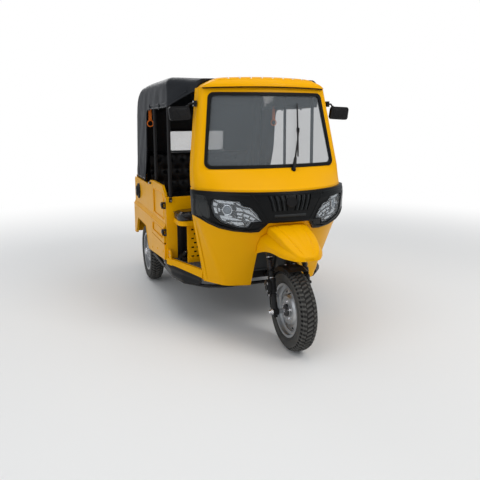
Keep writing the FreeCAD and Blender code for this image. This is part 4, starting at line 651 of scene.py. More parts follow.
def canopy_side():
    """Rows of the canopy in side view: a point on the roof or back line, and one on the lower edge."""
    line = [
        (CANOPY_FRONT_Y, CANOPY_TOP - 0.031), (0.70, CANOPY_TOP - 0.023), (0.80, CANOPY_TOP - 0.013),
        (0.90, CANOPY_TOP - 0.004), (1.10, CANOPY_TOP - 0.003), (1.30, CANOPY_TOP - 0.003),
        (1.50, CANOPY_TOP - 0.003),
        (1.70, CANOPY_TOP - 0.004), (1.86, CANOPY_TOP - 0.011), (2.02, CANOPY_TOP - 0.020),
        (2.11, CANOPY_TOP - 0.038),
        (2.19, CANOPY_TOP - 0.064), (2.255, CANOPY_TOP - 0.106), (2.300, CANOPY_TOP - 0.160),
        (2.338, CANOPY_TOP - 0.236), (2.376, 1.415), (2.394, 1.32), (2.407, 1.24), (2.412, 1.205),
        (2.425, 1.12),
        (2.435, 1.05), (2.442, 0.981),
    ]
    edge = [
        (CANOPY_FRONT_Y, CANOPY_TOP - 0.113), (0.70, CANOPY_TOP - 0.143), (0.80, CANOPY_TOP - 0.182),
        (0.90, VALANCE_Z + 0.003), (1.10, VALANCE_Z), (1.30, VALANCE_Z - 0.002), (1.50, VALANCE_Z),
        (1.70, VALANCE_Z),
        (1.748, VALANCE_Z - 0.024), (1.768, VALANCE_Z - 0.10), (1.786, VALANCE_Z - 0.22), (1.806, 1.25),
        (1.825, 1.20),
        (1.85, 1.14), (1.88, 1.08), (1.915, 1.02), (1.95, SIDE_TOP_Z + 0.004), (2.04, SIDE_TOP_Z + 0.004),
        (2.13, SIDE_TOP_Z + 0.004), (2.22, SIDE_TOP_Z + 0.004), (2.32, SIDE_TOP_Z + 0.004),
        (2.41, SIDE_TOP_Z + 0.005),
    ]
    return line, edge


def resample(points, parts):
    """Divide each run of a line of (y, z) points into equal parts."""
    fine = []
    for (y0, z0), (y1, z1) in zip(points, points[1:]):
        fine += [(y0 + (y1 - y0) * i / parts, z0 + (z1 - z0) * i / parts) for i in range(parts)]
    return fine + [points[-1]]


# The window's opening, and the sheet's divisions: along each run, across half the roof and down a side
WINDOW_HALF = 0.300
WINDOW_HIGH_Z = 1.415
WINDOW_LOW_Z = 1.205
FINE = 6
ACROSS = 30
DOWN = 26


def canopy_fold(point, row_y, side_depth, out):
    """How far the vinyl stands in from its taut form: sags between the hoops, folds at its edges."""
    sag = 0.0
    if point.z > CANOPY_TOP - 0.12:
        for low, high in zip(HOOPS_Y, HOOPS_Y[1:]):
            if low < row_y < high:
                t = (row_y - low) / (high - low)
                sag = 0.012 * math.sin(math.pi * t) * smooth_step(0.60, 0.30, abs(point.x))
    soft = noise.noise(Vector((point.x * 2.3, point.y * 2.6, point.z * 2.2)))
    fine = noise.noise(Vector((point.x * 7.0 + 4.0, point.y * 8.0, point.z * 3.0)))
    tension = math.sin(point.y * 24.0 + point.z * 17.0 + 2.5 * soft)
    depth = 0.004 + 0.003 * soft + 0.0015 * fine + 0.0025 * tension * smooth_step(0.0, 0.25, side_depth)
    gather = math.sin(point.y * 62.0 + 3.0 * fine) * smooth_step(1.24, 1.00, point.z) * 0.006
    return -out * (sag + max(depth + gather, 0.0005))


def visor_height(x):
    """Height of the visor's back edge at x, over the screen frame."""
    spots = [(SCREEN_LEVELS[-1][2] - narrower, up) for up, narrower, _ in VISOR_ROWS]
    for (x0, up0), (x1, up1) in zip(spots, spots[1:]):
        if x1 <= abs(x) <= x0:
            return up0 + (up1 - up0) * (x0 - abs(x)) / (x0 - x1)
    return spots[-1][1] if abs(x) < spots[-1][0] else 0.0


def front_flap(point):
    """Where a point of the canopy's front edge is drawn in to, against the back of the visor."""
    reach = abs(point.x)
    if reach > 0.40:
        reach -= 0.010
    low = SCREEN_LEVELS[-1][0] + visor_height(reach) + 0.001
    return Vector((math.copysign(reach, point.x), point.y - 0.004, min(point.z - 0.001, low)))


def make_canopy():
    line, edge = canopy_side()
    line = resample(line, FINE)
    edge = resample(edge, FINE)
    rows = []
    for (y, z), (edge_y, edge_z) in zip(line, edge):
        ahead = Vector((0, edge_y - y, edge_z - z))
        drop = ahead.normalized() * ROOF_ROUND
        row = []
        start = Vector((0, edge_y, edge_z))
        end = Vector((0, y, z)) + drop
        for i in range(DOWN):
            t = i / DOWN
            place = start.lerp(end, t)
            row.append((Vector((canopy_half(place.y), place.y, place.z)), Vector((1, 0, 0)), 1 - t))
        for i in range(7):
            angle = math.pi / 2 * i / 6
            out = Vector((math.cos(angle), 0, 0)) - drop.normalized() * math.sin(angle)
            centre = Vector((canopy_half(y) - ROOF_ROUND, y, z)) + drop
            row.append((centre + out * ROOF_ROUND, out, 0.0))
        up = -drop.normalized()
        for i in range(1, ACROSS):
            x = (canopy_half(y) - ROOF_ROUND) * (1 - i / ACROSS)
            row.append((Vector((x, y, z)), up, 0.0))
        row.append((Vector((0, y, z)), up, 0.0))
        whole = [place + canopy_fold(place, y, depth, out) for place, out, depth in row]
        other = [sided(place, -1) + canopy_fold(sided(place, -1), y, depth, sided(out, -1))
                 for place, out, depth in row[:-1]]
        rows.append([at(*p) for p in whole + other[::-1]])
    rows.insert(0, [front_flap(point) for point in rows[0]])
    bm = bmesh.new()
    open_skin(bm, rows)
    centres = [(face, face.calc_center_median()) for face in bm.faces]
    hole = [face for face, middle in centres
            if abs(middle.x) < WINDOW_HALF and WINDOW_LOW_Z < middle.z < WINDOW_HIGH_Z
            and middle.y > at(0, 2.3, 0).y]
    bmesh.ops.delete(bm, geom=hole, context="FACES")
    area = sum(face.calc_area() for face in bm.faces)
    sheet = mesh_piece("canopy_sheet", bm, "canopy", thickness=0.003, sharp=60)
    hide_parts("canopy")
    return sheet, area


# Wheels

# Each wheel: its name, centre and body, and the way that its outer face looks
WHEELS = (
    ("front", at(0, 0, TYRE_RADIUS), "front_wheel", -1),
    ("rear_left", at(REAR_TRACK / 2, WHEELBASE, TYRE_RADIUS), "rear_wheel_left", 1),
    ("rear_right", at(-REAR_TRACK / 2, WHEELBASE, TYRE_RADIUS), "rear_wheel_right", -1),
)
WHEEL_NUTS = 5
LUGS = 54
LUG_STEPS = 8
LUG_HEIGHT = 0.0100


def spoke(angle):
    """A direction out from a wheel's axle."""
    return Vector((0, math.cos(angle), math.sin(angle)))


def lug_height(turn, across):
    """Tread height from 0 to 1 at a share of a turn, and a place from -1 to 1 across the crown."""
    side = abs(across)
    phase = turn * LUGS + (0.5 if across > 0 else 0.0)
    if side < 0.40:
        phase = turn * LUGS + 0.75 * across
        share = phase - math.floor(phase)
        return smooth_step(0.04, 0.16, share) * smooth_step(0.70, 0.58, share) * smooth_step(0.40, 0.36,
                                                                                             side)
    share = phase + 0.30 * side - math.floor(phase + 0.30 * side)
    block = smooth_step(0.05, 0.17, share) * smooth_step(0.66, 0.54, share)
    return block * smooth_step(0.46, 0.50, side) * smooth_step(1.32, 1.18, side)


def tyre_profile():
    """Outer line of the tyre as (x, radius, share across the crown), and its inner line back to the bead."""
    half = TYRE_WIDTH / 2
    bead = 0.048
    crown_foot = 0.2425
    outer = []
    side = [(bead, 0.1683), (bead + 0.0035, 0.172), (bead + 0.004, 0.178), (0.0585, 0.196), (0.0595, 0.198),
            (0.0605, 0.2015), (half - 0.0006, 0.214), (half, 0.222), (half - 0.0004, 0.232),
            (half - 0.0012, 0.240)]
    crown = [(half - 0.002 - 0.0016 * i, crown_foot + 0.0019 * i) for i in range(7)]
    top_x, top_r = crown[-1]
    curve = [(top_x * (1 - i / 18), top_r + (TYRE_RADIUS - top_r) * math.sqrt(1 - (1 - i / 18) ** 2.3))
             for i in range(1, 19)]
    for x, radius in side + crown + curve:
        share = x / top_x
        if radius <= top_r and x > top_x - 1e-6:
            share = 1.30 - 0.30 * (radius - crown_foot) / (top_r - crown_foot)
        outer.append((x, radius, share if radius > 0.2424 else 9.0))
    left = [(-x, radius, -share) for x, radius, share in outer[:-1]]
    line = left + outer[::-1]
    inner = [(0.036, 0.1683), (0.050, 0.215), (0.040, 0.245), (0.0, 0.2585), (-0.040, 0.245),
             (-0.050, 0.215),
             (-0.036, 0.1683)]
    return line, inner


def make_tyre(name, centre, body, node_name):
    line, inner = tyre_profile()
    steps = LUGS * LUG_STEPS
    bm = bmesh.new()
    rings = []
    for i in range(steps + 1):
        turn = (i % steps) / steps
        angle = 2 * math.pi * turn
        out = spoke(angle)
        ring = []
        for x, radius, share in line:
            cut = 0.0
            if abs(share) < 1.4:
                cut = LUG_HEIGHT * (1 - lug_height(turn, share)) * smooth_step(1.34, 1.0, abs(share))
            lean = 0.35 if abs(share) > 0.9 else 0.0
            place = Vector((x - math.copysign(cut * lean, x), 0, 0)) + out * (radius - cut)
            ring.append(centre + place)
        ring += [centre + Vector((x, 0, 0)) + out * radius for x, radius in inner]
        rings.append(ring)
    open_skin(bm, rings, closed=True)
    tyre = mesh_piece(name, bm, "tyre", body, sharp=28)
    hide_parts(node_name)


def make_hub(name, centre, body, outward, cap):
    """Wheel nuts on their studs, a grease cap and a valve on the rim's outer face."""
    axis = Vector((outward, 0, 0))
    bm = bmesh.new()
    for i in range(WHEEL_NUTS):
        out = spoke(2 * math.pi * i / WHEEL_NUTS + 0.3)
        base = centre + out * 0.0575 + axis * 0.0385
        bolt(bm, base, axis, 0.0095, 0.011)
        turned(bm, [(0, 0.009), (0.0045, 0.009), (0.0045, 0.019), (0.003, 0.0205), (0, 0.0205)], base, axis,
               12)
    if cap:
        turned(bm, [(0.031, 0), (0.031, 0.012), (0.027, 0.018), (0.016, 0.0225), (0, 0.024)],
               centre + axis * 0.052, axis, 28)
    mesh_piece(name + "_nuts", bm, "chrome", body)
    bm = bmesh.new()
    stem = centre + spoke(2.0) * 0.150 + axis * 0.030
    turned(bm, [(0.0055, -0.012), (0.0045, 0.018), (0.0038, 0.019), (0.0038, 0.030), (0, 0.031)],
           stem, axis + Vector((0, 0.25, -0.3)), 12)
    mesh_piece(name + "_valve", bm, "rubber", body)


def make_wheels():
    for name, centre, body, outward in WHEELS:
        tyre_node = "front_tyre" if name == "front" else "rear_tyre_" + name[5:]
        make_tyre(name + "_tread_tyre", centre, body, tyre_node)
        make_hub(name + "_wheel", centre, body, outward, cap=name != "front")


# Seats

def smooth_box(bm, low, high, round_by):
    """A padded block: a box whose faces are divided and whose corners are rounded."""
    size = high - low
    bmesh.ops.create_cube(bm, size=1.0)
    bmesh.ops.subdivide_edges(bm, edges=bm.edges, cuts=6, use_grid_fill=True)
    centre = (low + high) / 2
    for vert in bm.verts:
        place = Vector(vert.co[i] * size[i] for i in range(3))
        core = Vector(max(-size[i] / 2 + round_by, min(size[i] / 2 - round_by, place[i])) for i in range(3))
        away = place - core
        if away.length > round_by:
            place = core + away.normalized() * round_by
        vert.co = centre + place


CLOTH_FRAMES = 14
CLOTH_PRESSURE = 5.0


def inflate(piece, cap, voxel):
    """Swell a pad by cloth simulation, hold each point within a cap, and apply the result."""
    remesh = piece.modifiers.new("remesh", "REMESH")
    remesh.mode = "VOXEL"
    remesh.voxel_size = voxel
    remesh.use_smooth_shade = True
    bpy.context.view_layer.update()
    graph = bpy.context.evaluated_depsgraph_get()
    mesh = bpy.data.meshes.new_from_object(piece.evaluated_get(graph))
    piece.modifiers.remove(remesh)
    piece.data = mesh
    before = [v.co.copy() for v in mesh.vertices]
    cloth = piece.modifiers.new("cloth", "CLOTH")
    cloth.settings.use_pressure = True
    cloth.settings.uniform_pressure_force = CLOTH_PRESSURE
    cloth.settings.effector_weights.gravity = 0.0
    cloth.settings.quality = 3
    scene = bpy.context.scene
    for number in range(1, CLOTH_FRAMES + 1):
        scene.frame_set(number)
    graph = bpy.context.evaluated_depsgraph_get()
    swollen = bpy.data.meshes.new_from_object(piece.evaluated_get(graph))
    piece.modifiers.remove(cloth)
    scene.frame_set(1)
    for vert, start in zip(swollen.vertices, before):
        move = vert.co - start
        if move.length > cap:
            vert.co = start + move * (cap / move.length)
    piece.data = swollen
    piece.data.shade_smooth()
    return piece


def pad(name, low, high, round_by, cap, voxel, tilt=None, material="seat"):
    """A swollen cushion between two corners, whose points tilt may move first."""
    bm = bmesh.new()
    smooth_box(bm, low, high, round_by)
    if tilt is not None:
        for vert in bm.verts:
            vert.co = tilt(vert.co)
    piece = mesh_piece(name, bm, material, join=1e-6)
    return inflate(piece, cap, voxel)


def press_in(piece, lines, width, depth, inside):
    """Sewn channels: press points near the line at each x down, where inside allows it."""
    for vert in piece.data.vertices:
        share = inside(vert.co)
        if share <= 0.0:
            continue
        push = sum(math.exp(-((vert.co.x - line) / width) ** 2) for line in lines)
        vert.co += Vector((0, 0, -1)) * (min(push, 1.0) * depth * share)


def tuft(piece, places, reach, depth, inside):
    """Button tufts: dimples pressed back around each place, where inside allows it."""
    for vert in piece.data.vertices:
        share = inside(vert.co)
        if share <= 0.0:
            continue
        near = min((vert.co - place).length for place in places)
        vert.co += Vector((0, 1, 0)) * (depth * share * math.exp(-(near / reach) ** 2))


SEAT_HALF = 0.590
SEAT_TOP = 0.842
SEAT_CORNER = 0.075
SEAT_PIPING_Z = 0.826
BENCH_HALF = 0.552
BENCH_FOOT = 0.706
BENCH_RISE = 0.52
BENCH_LEAN = 0.042


def make_driver_seat():
    low = at(-SEAT_HALF, 0.695, 0.757)
    high = at(SEAT_HALF, 0.923, SEAT_TOP)

    def plan(place):
        corner = SEAT_CORNER
        x = abs(place.x)
        front = place.y - low.y
        if x > high.x - corner and front < corner:
            over = Vector((x - (high.x - corner), corner - front))
            if over.length > corner:
                over = over.normalized() * corner
            place.x = math.copysign(high.x - corner + over.x, place.x)
            place.y = low.y + corner - over.y
        return place

    seat = pad("driver_seat_cushion", low, high, 0.026, 0.010, 0.006, tilt=plan, material="driver_vinyl")
    press_in(seat, (-0.29, 0.0, 0.29), 0.006, 0.005, lambda p: smooth_step(0.835, SEAT_TOP, p.z))
    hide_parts("driver_seat")
    left = ((0.004, 0.915), (0.002, 0.80), (0.004, 0.755), (0.020, 0.710), (0.080, 0.6915), (0.212, 0.6895))
    loop = [at(-SEAT_HALF + x, y, SEAT_PIPING_Z) for x, y in left] + [at(0.0, 0.6890, SEAT_PIPING_Z)]
    loop += [at(SEAT_HALF - x, y, SEAT_PIPING_Z) for x, y in reversed(left)]
    tubes("driver_seat_piping", [loop], 0.0035, "seat_piping")


def make_bench():
    low = at(-BENCH_HALF, 1.708, BENCH_FOOT)
    high = at(BENCH_HALF, 2.226, 0.798)
    cushion = pad("bench_seat_cushion", low, high, 0.030, 0.016, 0.009)
    top = high.z
    lines = [-BENCH_HALF + 2 * BENCH_HALF * i / 8 for i in range(1, 8)]
    press_in(cushion, lines, 0.009, 0.010, lambda p: smooth_step(top - 0.03, top - 0.005, p.z))
    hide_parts("bench_cushion")

    def lean(place):
        up = (place.z - BENCH_FOOT) / BENCH_RISE
        place.y += BENCH_LEAN * up + 0.018 * smooth_step(0.75, 1.0,
                                                         up) * (1 if place.y > at(0, 2.30, 0).y else 0)
        return place

    back_low = at(-BENCH_HALF, 2.247, 0.708)
    back_high = at(BENCH_HALF, 2.322, 1.218)
    back = pad("bench_backrest", back_low, back_high, 0.030, 0.016, 0.008, tilt=lean)

    def front_face(p):
        up = (p.z - BENCH_FOOT) / BENCH_RISE
        return smooth_step(0.030, 0.010, p.y - (back_low.y + BENCH_LEAN * up - 0.012))

    places = []
    for row in range(4):
        z = 0.80 + row * 0.115
        for column in range(9):
            x = -0.48 + column * 0.12 + (0.06 if row % 2 else 0.0)
            if abs(x) < 0.52:
                places.append(Vector((x, back_low.y + BENCH_LEAN * (z - BENCH_FOOT) / BENCH_RISE, z)))
    tuft(back, places, 0.030, 0.022, front_face)
    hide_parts("bench_back")
    bm = bmesh.new()
    for place in places:
        turned(bm, [(0, -0.002), (0.008, -0.001), (0.009, 0.003), (0, 0.006)], place + Vector((0, 0.018, 0)),
               Vector((0, -1, 0)), 14)
    mesh_piece("bench_buttons", bm, "seat_piping")
    path = [at(x, 1.704 + (0.006 if abs(x) > 0.53 else 0.0), 0.795 - (0.004 if abs(x) > 0.53 else 0.0))
            for x in (-0.548, -0.52, -0.3, 0.0, 0.3, 0.52, 0.548)]
    tubes("bench_front_piping", [path], 0.0035, "seat_piping")


# Lamps, mask and screen

LAMP_OUTLINE = (
    (0.472, 1.006), (0.330, 0.997), (0.307, 0.968), (0.260, 0.957), (0.223, 0.915), (0.193, 0.864),
    (0.255, 0.860), (0.268, 0.826), (0.320, 0.819), (0.424, 0.854), (0.466, 0.896), (0.482, 0.960),
)
CORNER_LAMP_OUTLINE = (
    (0.548, 1.026), (0.520, 1.022), (0.504, 0.950), (0.494, 0.876), (0.524, 0.894), (0.540, 0.940),
)
PROJECTOR = (0.385, 0.937)
# Each reflector facet: its corners as (x, z), and how far its face stands out of the nose
REFLECTORS = (
    (((0.345, 0.960), (0.312, 0.952), (0.296, 0.928), (0.330, 0.930)), 0.0085),
    (((0.308, 0.950), (0.262, 0.938), (0.246, 0.906), (0.292, 0.925)), 0.0105),
    (((0.258, 0.936), (0.236, 0.912), (0.206, 0.872), (0.244, 0.900)), 0.0080),
    (((0.455, 0.995), (0.360, 0.988), (0.348, 0.975), (0.440, 0.982)), 0.0095),
    (((0.345, 0.985), (0.325, 0.984), (0.306, 0.965), (0.330, 0.968)), 0.0080),
    (((0.430, 0.900), (0.345, 0.885), (0.300, 0.868), (0.372, 0.866), (0.428, 0.882)), 0.0075),
    (((0.385, 0.862), (0.300, 0.858), (0.288, 0.840), (0.322, 0.832)), 0.0095),
    (((0.466, 0.955), (0.448, 0.950), (0.440, 0.908), (0.455, 0.912)), 0.0085),
)


def divided(points, parts):
    """Each run of a line of points, divided into equal parts, without the last point."""
    return [a.lerp(b, i / parts) for a, b in zip(points, points[1:]) for i in range(parts)]


def grown(outline, by):
    """An outline's points moved away from its middle by a distance."""
    middle = Vector((sum(p[0] for p in outline) / len(outline), sum(p[1] for p in outline) / len(outline)))
    points = []
    for x, z in outline:
        away = Vector((x, z)) - middle
        points.append(middle + away * (1 + by / away.length))
    return points


def nose_patch(bm, outline, out, side, cuts=3):
    """A sheet over an outline, laid on the nose at a distance out."""
    flat = bmesh.new()
    face = flat.faces.new([flat.verts.new((side * x, 0, z)) for x, z in outline])
    bmesh.ops.triangulate(flat, faces=[face])
    bmesh.ops.subdivide_edges(flat, edges=flat.edges, cuts=cuts, use_grid_fill=True)
    made = {vert: bm.verts.new(on_shell(NOSE_LEVELS, vert.co.x, vert.co.z, out)) for vert in flat.verts}
    for face in flat.faces:
        bm.faces.new([made[vert] for vert in face.verts])
    flat.free()


def nose_rim(bm, outline, low, high, side, inset=0.0):
    """A wall around an outline between two distances out of the nose."""
    points = [Vector(p) for p in outline]
    fine = divided(points + points[:1], 5)
    inner = grown(fine, -inset) if inset else fine
    rings = [[on_shell(NOSE_LEVELS, side * p.x, p.y, low) for p in fine],
             [on_shell(NOSE_LEVELS, side * p.x, p.y, high) for p in inner]]
    open_skin(bm, rings, closed=True)


def nose_plate(bm, outline, low, high, side, inset, cuts=3):
    """A raised facet: a sheet laid on the nose with walls down to a lower level."""
    nose_patch(bm, grown(outline, -inset), high, side, cuts)
    nose_rim(bm, outline, low, high, side, inset)


def make_headlamps():
    bm = bmesh.new()
    for side in (-1, 1):
        for outline in (LAMP_OUTLINE, CORNER_LAMP_OUTLINE):
            rim = grown(outline, -0.0012)
            nose_patch(bm, rim, 0.0030, side)
            nose_rim(bm, rim, 0.0010, 0.0126, side)
            nose_rim(bm, grown(outline, -0.010), 0.0020, 0.0075, side)
    bowls = mesh_piece("headlamp_housings", bm, "lamp_black")
    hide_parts("headlamp_bowls")
    bm = bmesh.new()
    for side in (-1, 1):
        for outline, out in REFLECTORS:
            nose_plate(bm, outline, 0.0028, out, side, 0.0025)
    mesh_piece("headlamp_reflectors", bm, "reflector", bevel=0.0006, sharp=20)
    ring = bmesh.new()
    ball = bmesh.new()
    for side in (-1, 1):
        x, z = side * PROJECTOR[0], PROJECTOR[1]
        middle = on_shell(NOSE_LEVELS, x, z)
        face = (on_shell(NOSE_LEVELS, x + 0.02, z) - on_shell(NOSE_LEVELS, x - 0.02, z)).normalized()
        way = face.cross(Vector((0, 0, 1))).normalized()
        if way.y > 0:
            way = -way
        turned(ring, [(0.036, 0.001), (0.035, 0.0095), (0.031, 0.0110), (0.0275, 0.0095), (0.0255, 0.004),
                      (0.0255, 0.001)], middle, way, 40)
        for k in range(6):
            angle = math.pi / 3 * k
            up = Vector((0, 0, 1)) * math.sin(angle) + face * math.cos(angle)
            across = way.cross(up)
            foot = middle + up * 0.034
            clip = [foot + across * s * w + up * h + way * o for s, w, h, o in
                    ((-1, 0.0035, 0, 0.002), (1, 0.0035, 0, 0.002), (1, 0.0022, 0.011, 0.0075),
                     (-1, 0.0022, 0.011, 0.0075))]
            skin(ring, [clip, [p + way * 0.0025 for p in clip]])
        turned(ball, [(0.0252, 0.0015), (0.024, 0.0055), (0.019, 0.0088), (0.010, 0.0108), (0, 0.0114)],
               middle, way, 36)
    mesh_piece("headlamp_projector_rings", ring, "reflector", bevel=0.0004)
    mesh_piece("headlamp_projector_lenses", ball, "projector")


def mask_strip(bm, points, width, low, high, steps=16):
    """A raised rib along a line of (x, z) points on the mask."""
    line = [Vector(p) for p in points]
    fine = divided(line, steps) + line[-1:]
    rings = []
    for i, p in enumerate(fine):
        ahead = (fine[min(i + 1, len(fine) - 1)] - fine[max(i - 1, 0)]).normalized()
        side = Vector((-ahead.y, ahead.x)) * width / 2
        ring = []
        for s, out in ((-1.0, low), (-0.6, high), (0.6, high), (1.0, low)):
            q = p + side * s
            ring.append(on_shell(NOSE_LEVELS, q.x, q.y, out))
        rings.append(ring)
    skin(bm, rings)


def mask_rib(bm, points, width, height, steps=16):
    """A rib that stands a height out of the mask's face."""
    mask_strip(bm, points, width, MASK_PROUD - 0.001, MASK_PROUD + height, steps)


def make_mask_details():
    bm = bmesh.new()
    for side in (-1, 1):
        mask_rib(bm, [(side * 0.256, 1.046), (side * 0.146, 0.862)], 0.012, 0.0030)
        rim = grown(LAMP_OUTLINE, 0.009)
        mask_rib(bm, [(side * x, z) for x, z in rim + rim[:1]], 0.013, 0.0032, 8)
        mask_rib(bm, [(side * 0.262, 1.032), (side * 0.40, 1.036), (side * 0.535, 1.034)], 0.016, 0.0045)
        lip = ((0.175, 0.838), (0.212, 0.806), (0.262, 0.797), (0.345, 0.804), (0.43, 0.824), (0.49, 0.854),
               (0.53, 0.888))
        mask_rib(bm, [(side * x, z) for x, z in lip], 0.014, 0.0040, 10)
    mask_rib(bm, [(-0.240, 1.040), (0.0, 1.044), (0.240, 1.040)], 0.014, 0.0045, 24)
    mask_rib(bm, [(-0.140, 0.866), (0.0, 0.864), (0.140, 0.866)], 0.010, 0.0035, 24)
    mesh_piece("mask_ribs", bm, "mask", bevel=0.0008)
    bm = bmesh.new()
    mask_rib(bm, [(-0.112, 0.899), (0.112, 0.899)], 0.019, 0.0035, 24)
    mesh_piece("mask_lower_bar", bm, "grey_trim", bevel=0.001)
    bm = bmesh.new()
    for top, low in ((0.132, 0.1065), (0.096, 0.0745), (0.0595, 0.0425)):
        for side in (-1, 1):
            mask_rib(bm, [(side * (top + 0.003), 1.030), (side * (low + 0.002), 0.932)], 0.008, 0.0028, 4)
    mesh_piece("grille_ribs", bm, "grey_trim", bevel=0.0006)
    bm = bmesh.new()
    middle = on_shell(NOSE_LEVELS, 0, 0.991, MASK_PROUD)
    turned(bm, [(0.036, -0.010), (0.036, 0.0055), (0.034, 0.0075), (0.030, 0.0078), (0.0285, 0.0060),
                (0, 0.0060)],
           middle, (0, -1, 0), 48)
    mesh_piece("badge_disc", bm, "trim", bevel=0.0005)


# The blade's ends on the screen, as (x, z)
BLADE_LOW = (0.171, 1.262)
BLADE_HIGH = (0.204, 1.629)


def make_wiper():
    """The arm with its spring cover, the blade's frame and its rubber edge."""
    def before(x, z, out):
        return on_shell(SCREEN_LEVELS, x, z, 0.0) - Vector((0, out, 0))

    pivot = before(0.118, 1.178, 0.016)
    joint = before(0.192, 1.431, 0.017)
    bm = bmesh.new()
    turned(bm, [(0.013, 0.020), (0.013, -0.004), (0.011, -0.008), (0, -0.009)], pivot, (0, 1, 0), 24)
    along = (joint - pivot).normalized()
    side = along.cross(Vector((0, 1, 0))).normalized()
    rings = []
    up = along.cross(side)
    for t, w, h in ((0.0, 0.010, 0.007), (0.12, 0.011, 0.009), (0.30, 0.008, 0.007), (0.34, 0.005, 0.0045),
                    (1.0, 0.0035, 0.003)):
        p = pivot.lerp(joint, t)
        rings.append([p + side * w * a + up * h * b for a, b in ((-1, -1), (1, -1), (1, 1), (-1, 1))])
    skin(bm, rings)
    blade_low = before(*BLADE_LOW, 0.011)
    blade_high = before(*BLADE_HIGH, 0.011)
    way = (blade_high - blade_low).normalized()
    middle = blade_low.lerp(blade_high, 0.5)
    rings = []
    out = Vector((0, -1, 0))
    wide = way.cross(out).normalized() * 0.0045
    for t, h in ((0.0, 0.002), (0.1, 0.005), (0.5, 0.009), (0.9, 0.005), (1.0, 0.002)):
        p = blade_low.lerp(blade_high, t)
        rings.append([p - wide, p + wide, p + wide + out * h, p - wide + out * h])
    skin(bm, rings)
    block(bm, middle - Vector((0.007, 0.012, 0.014)), middle + Vector((0.010, 0.004, 0.014)))
    arm = mesh_piece("wiper_arm", bm, "trim", bevel=0.0008)
    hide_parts("wiper")
    bm = bmesh.new()
    rings = []
    for i in range(13):
        t = i / 12
        x, z = [low + (high - low) * t for low, high in zip(BLADE_LOW, BLADE_HIGH)]
        foot = before(x, z, 0.004)
        rings.append([foot + Vector((dx, dy, 0)) for dx, dy in
                      ((-0.002, 0), (0.002, 0), (0.0035, -0.008), (-0.0035, -0.008))])
    skin(bm, rings)
    mesh_piece("wiper_rubber", bm, "rubber")


# Small parts

HINGE_LEVELS = (0.660, 0.872)
BRAKE_X = -0.535
LEG_X = 0.125
LEG_SLOPE = 0.3
LEG_WAY = Vector((0, LEG_SLOPE, 1)).normalized()
SNAP = [(0.0075, 0.0), (0.0065, 0.0028), (0.003, 0.0036), (0, 0.0036)]


def side_edge(level, back_by, out):
    """A point on the cab's side wall, a distance ahead of its rear edge, moved out."""
    z, flange, corner, front, nose, corner_round, back = level
    centre_x = corner - corner_round
    centre_y = front + nose - math.sqrt((nose - corner_round) ** 2 - centre_x ** 2)
    reach = Vector((flange - centre_x, back - centre_y))
    swing = math.atan2(reach.y, reach.x) - math.acos(min(1.0, corner_round / reach.length))
    start = Vector((centre_x + corner_round * math.cos(swing), centre_y + corner_round * math.sin(swing)))
    ahead = (start - Vector((flange, back))).normalized()
    normal = Vector((math.cos(swing), math.sin(swing)))
    place = Vector((flange, back)) + ahead * back_by + normal * out
    return at(place.x, place.y, z)


def make_cab_flanges():
    """A raised band and a rolled edge down each rear side of the cab."""
    bm = bmesh.new()
    rolls = []
    for levels, low, high in ((NOSE_LEVELS, 0.362, 1.062), (SCREEN_LEVELS, 1.070, 1.733)):
        rows = [level_at(levels, low + (high - low) * i / 14) for i in range(15)]
        for side in (-1, 1):
            profile = ((-0.0005, -0.001), (-0.0005, 0.0028), (0.030, 0.0028), (0.036, -0.0008))
            rings = [[sided(side_edge(row, back, out), side) for back, out in profile] for row in rows]
            skin(bm, rings)
            rolls.append([sided(side_edge(row, 0.001, 0.0005), side) for row in rows[::2]])
    mesh_piece("cab_side_bands", bm, "yellow", bevel=0.0012)
    tubes("cab_edge_rolls", rolls, 0.0052, "yellow")


def make_hinges():
    """Black hinge plates and sleeves with bright bolts, on each door."""
    for name, side in (("left", 1), ("right", -1)):
        plates = bmesh.new()
        bolts = bmesh.new()
        for z in HINGE_LEVELS:
            side_block(plates, side, (0.6655, 0.9700, z - 0.0146), (0.6682, 1.0105, z + 0.0146))
            foot = at(side * 0.663, 0.962, z - 0.0147)
            turned(plates, [(0, 0), (0.0078, 0), (0.0078, 0.0294), (0, 0.0294)], foot, (0, 0, 1), 20)
            for up in (-0.0078, 0.0078):
                bolt(bolts, at(side * 0.6680, 0.994, z + up), (side, 0, 0), 0.0038, 0.0040)
        mesh_piece("door_hinge_plates_" + name, plates, "black_steel", "door_" + name, bevel=0.0008)
        mesh_piece("door_hinge_bolts_" + name, bolts, "chrome", "door_" + name)
    plates = bmesh.new()
    bolts = bmesh.new()
    for side in (-1, 1):
        for z in HINGE_LEVELS:
            side_block(plates, side, (0.6435, 0.9325, z - 0.0265), (0.6455, 0.9510, z + 0.0265))
            for up in (-0.017, 0.017):
                bolt(bolts, at(side * 0.6452, 0.9418, z + up), (side, 0, 0), 0.0034, 0.0036)
        turned(bolts, [(0.0105, 0), (0.0105, 0.004), (0.0085, 0.006), (0, 0.0065)],
               at(side * 0.6560, 1.540, 0.985), (side, 0, 0), 20)
    mesh_piece("hinge_back_plates", plates, "black_steel", bevel=0.0008)
    mesh_piece("hinge_back_bolts", bolts, "chrome")


